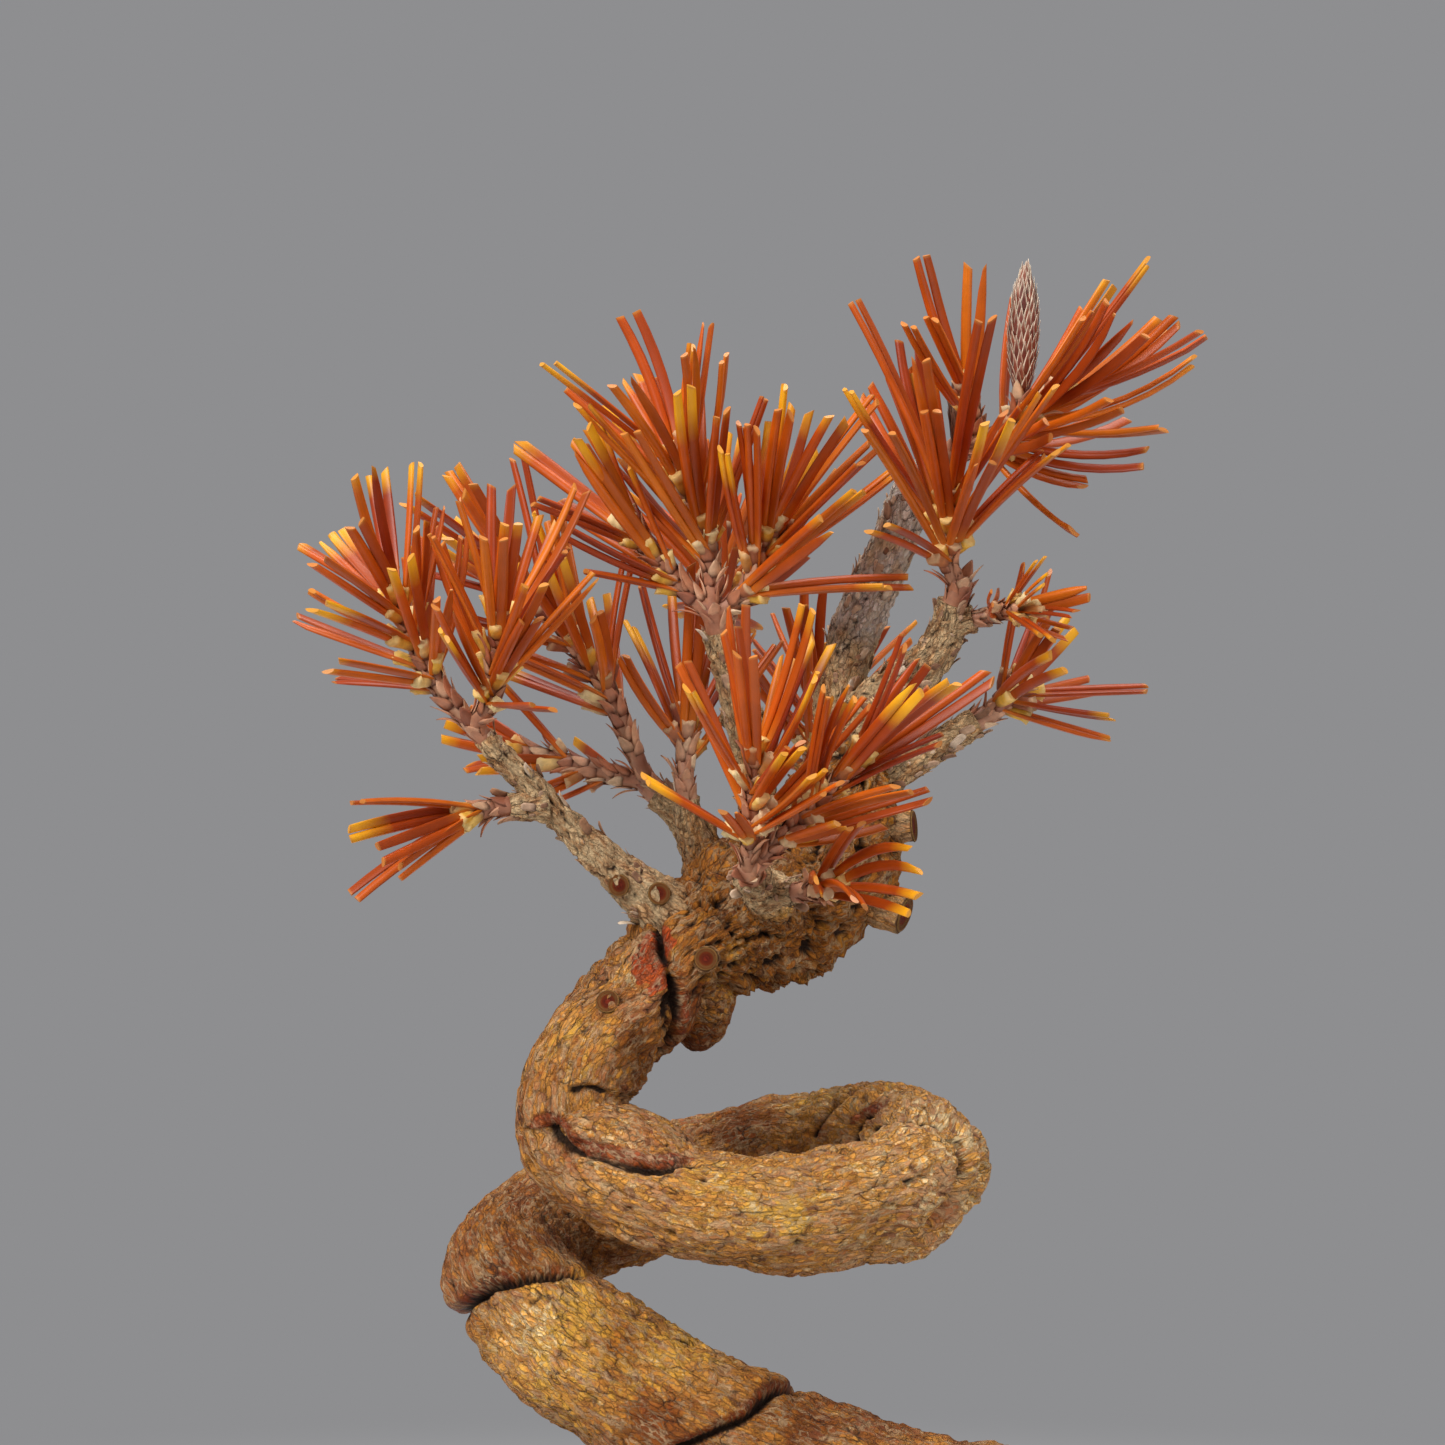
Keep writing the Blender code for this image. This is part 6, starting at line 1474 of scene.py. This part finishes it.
def rounded(corners, bevel, arc=5):
    """A line of (radius, height) corners with each corner rounded, in the same order."""
    corners = np.array(corners, float)
    found = []
    for before, corner, after in zip(np.roll(corners, 1, 0), corners, np.roll(corners, -1, 0)):
        a, b = before - corner, after - corner
        cut = min(bevel, np.linalg.norm(a) * 0.45, np.linalg.norm(b) * 0.45)
        a, b = corner + unit(a) * cut, corner + unit(b) * cut
        found += [a * (1 - t) ** 2 + corner * 2 * t * (1 - t) + b * t**2 for t in np.linspace(0, 1, arc)]
    return np.array(found)


def clay_look():
    """Unglazed stoneware: red-brown, clouded by the fire, speckled with dark iron and pale grog."""
    look, tree, shader = new_look("clay", 0.72)
    where = in_place(tree)
    tint = steps(tree, mottle(tree, where, 34.0, 4.0, 0.6),
                 [(0.3, srgb(86, 50, 38)), (0.5, srgb(118, 70, 52)), (0.7, srgb(98, 58, 46))])
    dark = steps(tree, mottle(tree, where, 1500.0, 2.0, 0.5), [(0.33, 1.0), (0.4, 0.0)])
    pale = steps(tree, mottle(tree, where, 900.0, 2.0, 0.5), [(0.64, 0.0), (0.72, 0.7)])
    tint = blend_in(tree, dark, tint, srgb(44, 28, 24))
    tint = blend_in(tree, pale, tint, srgb(162, 122, 96))
    ins = {"Vector": where, "Scale": 120.0, "Distortion": 1.2, "Detail": 2.0}
    rings = add(tree, "ShaderNodeTexWave", ins, bands_direction="Z").outputs["Fac"]
    height = plus(tree, times(tree, rings, 0.4), mottle(tree, where, 700.0, 5.0, 0.7))
    return finished(look, shader, tint, height, strength=0.5, depth=0.0002)


def spun(reach, height, turns):
    """Points at these reaches and heights, turned about the upright axis."""
    return np.stack([reach * np.cos(turns), reach * np.sin(turns), height + 0 * turns], -1)


wall = [(float(pot_inner_radius(z)), z) for z in np.linspace(POT_FLOOR, POT_RIM_FOOT, 9)]
profile = [(DRAIN_RADIUS, POT_FLOOR), *wall, (float(pot_inner_radius(POT_HEIGHT)), POT_HEIGHT),
           (POT_RIM_RADIUS, POT_HEIGHT), (POT_RIM_RADIUS, POT_RIM_FOOT + 0.4),
           *[(r + POT_WALL, z) for r, z in wall[::-1]], (POT_FLOOR_RADIUS - 1.5, POT_FOOT_HEIGHT),
           (DRAIN_RADIUS, POT_FOOT_HEIGHT)]
profile = rounded(profile, POT_BEVEL)
pot_skin = Skin()
pot_skin.add(spun(profile[:, :1], profile[:, 1:], full_turn(160)), looped=True)
foot_top = POT_FOOT_HEIGHT + 1
section = rounded([(FOOT_IN, 0), (FOOT_OUT, 0), (FOOT_OUT, foot_top), (FOOT_IN, foot_top)], FOOT_BEVEL)
middle_reach = section[:, 0].mean()
bulge = np.array([0.9, *[1.0] * 23, 0.9])[:, None]  # each foot is a little narrower at its two ends
for middle in (-90, 30, 150):
    turns = np.radians(middle + np.linspace(-FOOT_HALF_DEG, FOOT_HALF_DEG, 25))[:, None]
    reach = middle_reach + (section[:, 0] - middle_reach) * bulge
    pot_skin.add(spun(reach, section[:, 1] + 0.0 * bulge, turns))
clay_finish = clay_look()
show("pot_body", pot_skin.mesh("pot_body"), clay_finish, "clay", "pot")

net_finish, tree, shader = new_look("net_plastic", 0.5)
grime = mottle(tree, in_place(tree), 500.0, 4.0)
net_tint = steps(tree, grime, [(0.35, srgb(28, 28, 28)), (0.7, srgb(64, 54, 44))])
finished(net_finish, shader, net_tint, grime, strength=0.4, depth=0.0001)
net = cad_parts["drain_screen"]
for socket in net.material_slots:
    socket.material = net_finish

# The soil: dry granules of fired clay, pumice and lava, sieved to two or three millimetres, heaped a little
# towards the trunk. Under them lies a bed that the roots grow in.
SOIL_TOP = 36.5
SOIL_DOME = 2.0
GRAIN_SIZE = 1.15
BED_ROWS = 42  # rings of points on the bed's top, from the pot's wall to the middle
BED_BELOW = 0.9  # how far the bed lies below the solid's top, so that the granules reach it


def earth_look():
    """Dry granules, each of one earth colour, spotted and rough."""
    look, tree, shader = new_look("soil", 0.93)
    tint = steps(tree, held(tree, "tone"),
                 [(0.0, srgb(92, 66, 46)), (0.25, srgb(150, 110, 74)), (0.5, srgb(176, 138, 98)),
                  (0.72, srgb(120, 86, 62)), (0.84, srgb(196, 182, 160)), (0.93, srgb(74, 58, 54))])
    mixed = mottle(tree, in_place(tree), 900.0, 5.0, 0.7)
    tint = shaded(tree, tint, 0.7, mixed, 0.6, 1.25)
    return finished(look, shader, tint, mixed, strength=0.7, depth=0.0002)


soil_finish = earth_look()
bed_foot = POT_FLOOR + GAP
inwards = np.linspace(1.0, 0.02, BED_ROWS)
share = np.concatenate([np.linspace(0.0, 1.0, 10)[1:], np.full(5, 1.0), inwards])
height = np.concatenate([np.full(9, bed_foot), np.linspace(bed_foot, SOIL_TOP, 7)[1:6],
                         SOIL_TOP + SOIL_DOME * (1 - inwards**2)])
reach = (pot_inner_radius(height) - GAP) * share
reach[-BED_ROWS:] = (pot_inner_radius(SOIL_TOP) - GAP) * inwards
bed = spun(reach[:, None], height[:, None], full_turn(120))
bed[-BED_ROWS:, :, 2] -= BED_BELOW
rough_rows = bed[1 - BED_ROWS:]
rough_rows[..., 2] += 0.45 * cloud(rough_rows / 1.7, 5) + 0.3 * cloud(rough_rows / 4.0, 6)
on_top = np.zeros(bed.shape[:2])
on_top[2 - BED_ROWS:] = 1.0
soil_skin = Skin(tone=1, flaky=1, way=3)
soil_skin.add(bed, tone=0.05, flaky=on_top, way=(0.0, 0.0, 1.0))
soil_mesh = soil_skin.mesh("soil_bed")
show("soil_bed", soil_mesh, soil_finish, "soil", "soil")
grain_shell = Skin()
rise = np.linspace(-math.pi / 2 + 0.35, math.pi / 2 - 0.35, 4)[:, None]
grain_form = spun(np.cos(rise), np.sin(rise), full_turn(6))
grain_form *= 1 + 0.22 * cloud(grain_form * 1.7 + 5, 3)[..., None]
grain_shell.add(grain_form * GRAIN_SIZE)
grain = new_object("grain", grain_shell.mesh("grain"))
granules = grow("granules", soil_mesh.copy(), strewn, Shape=grain, Density=5.0e5, Least=0.55, Most=1.1,
                Lift=0.0, Wild=3.0, Seed=11, Finish=soil_finish)
show("soil_granules", granules, soil_finish, "soil", "soil")
bpy.data.objects.remove(grain)

# The studio: a plain pale floor that runs out into the same grey as the room, a camera at the photograph's
# angle, one large soft light from the upper left, another overhead and a weak one on the right.
ROOM_GREY = srgb(142, 142, 144)
CAMERA_TARGET = Vector((-0.004, 0.0, 0.156))
CAMERA_DISTANCE = 0.9
CAMERA_PITCH = math.radians(6.0)
VIEW_WIDTH = 0.180625
SENSOR_WIDTH = 36.0
FLOOR_COLOUR = (0.62, 0.61, 0.6, 1.0)
FLOOR_REACH = 8.0
PALE_WITHIN = 0.12
GREY_BEYOND = 0.34

scene = bpy.context.scene
scene.view_settings.view_transform = "Standard"
room = bpy.data.worlds.new("room")
room.use_nodes = True
room.node_tree.nodes["Background"].inputs["Color"].default_value = (*ROOM_GREY, 1.0)
scene.world = room

floor_mesh = bpy.data.meshes.new("floor")
floor_form = bmesh.new()
bmesh.ops.create_circle(floor_form, cap_ends=True, segments=96, radius=FLOOR_REACH)
floor_form.to_mesh(floor_mesh)
floor_form.free()
floor = new_object("floor", floor_mesh)
floor_look, tree, shader = new_look("floor", 0.9)
shader.inputs["Base Color"].default_value = FLOOR_COLOUR
away = add(tree, "ShaderNodeVectorMath", {0: in_place(tree)}, operation="LENGTH").outputs["Value"]
fade = add(tree, "ShaderNodeMapRange", {"Value": away, "From Min": PALE_WITHIN, "From Max": GREY_BEYOND},
           interpolation_type="SMOOTHSTEP").outputs["Result"]
even = add(tree, "ShaderNodeEmission", {"Color": (*ROOM_GREY, 1.0)}).outputs[0]
mixed = add(tree, "ShaderNodeMixShader", {0: fade, 1: shader.outputs[0], 2: even}).outputs[0]
tree.links.new(mixed, tree.nodes["Material Output"].inputs["Surface"])
floor_mesh.materials.append(floor_look)

camera = new_object("camera", bpy.data.cameras.new("camera"))
camera.data.sensor_width = SENSOR_WIDTH
camera.data.lens = SENSOR_WIDTH * CAMERA_DISTANCE / VIEW_WIDTH
camera.data.clip_start = 0.01
back = Vector((0.0, -math.cos(CAMERA_PITCH), math.sin(CAMERA_PITCH)))
camera.location = CAMERA_TARGET + back * CAMERA_DISTANCE
camera.rotation_euler = (math.pi / 2 - CAMERA_PITCH, 0.0, 0.0)
scene.camera = camera

LIGHTS = [  # name, place, side in metres, watts
    ("key", (-0.75, -0.75, 0.95), 0.7, 18.5),
    ("fill", (0.95, -0.65, 0.45), 0.9, 5.0),
    ("top", (0.1, 0.2, 1.25), 0.8, 13.0),
]
for name, spot, side, watts in LIGHTS:
    light = bpy.data.lights.new(name, "AREA")
    light.shape = "SQUARE"
    light.size = side
    light.energy = watts
    lamp = new_object(name, light)
    lamp.location = spot
    lamp.rotation_euler = (CAMERA_TARGET - Vector(spot)).to_track_quat("-Z", "Y").to_euler()
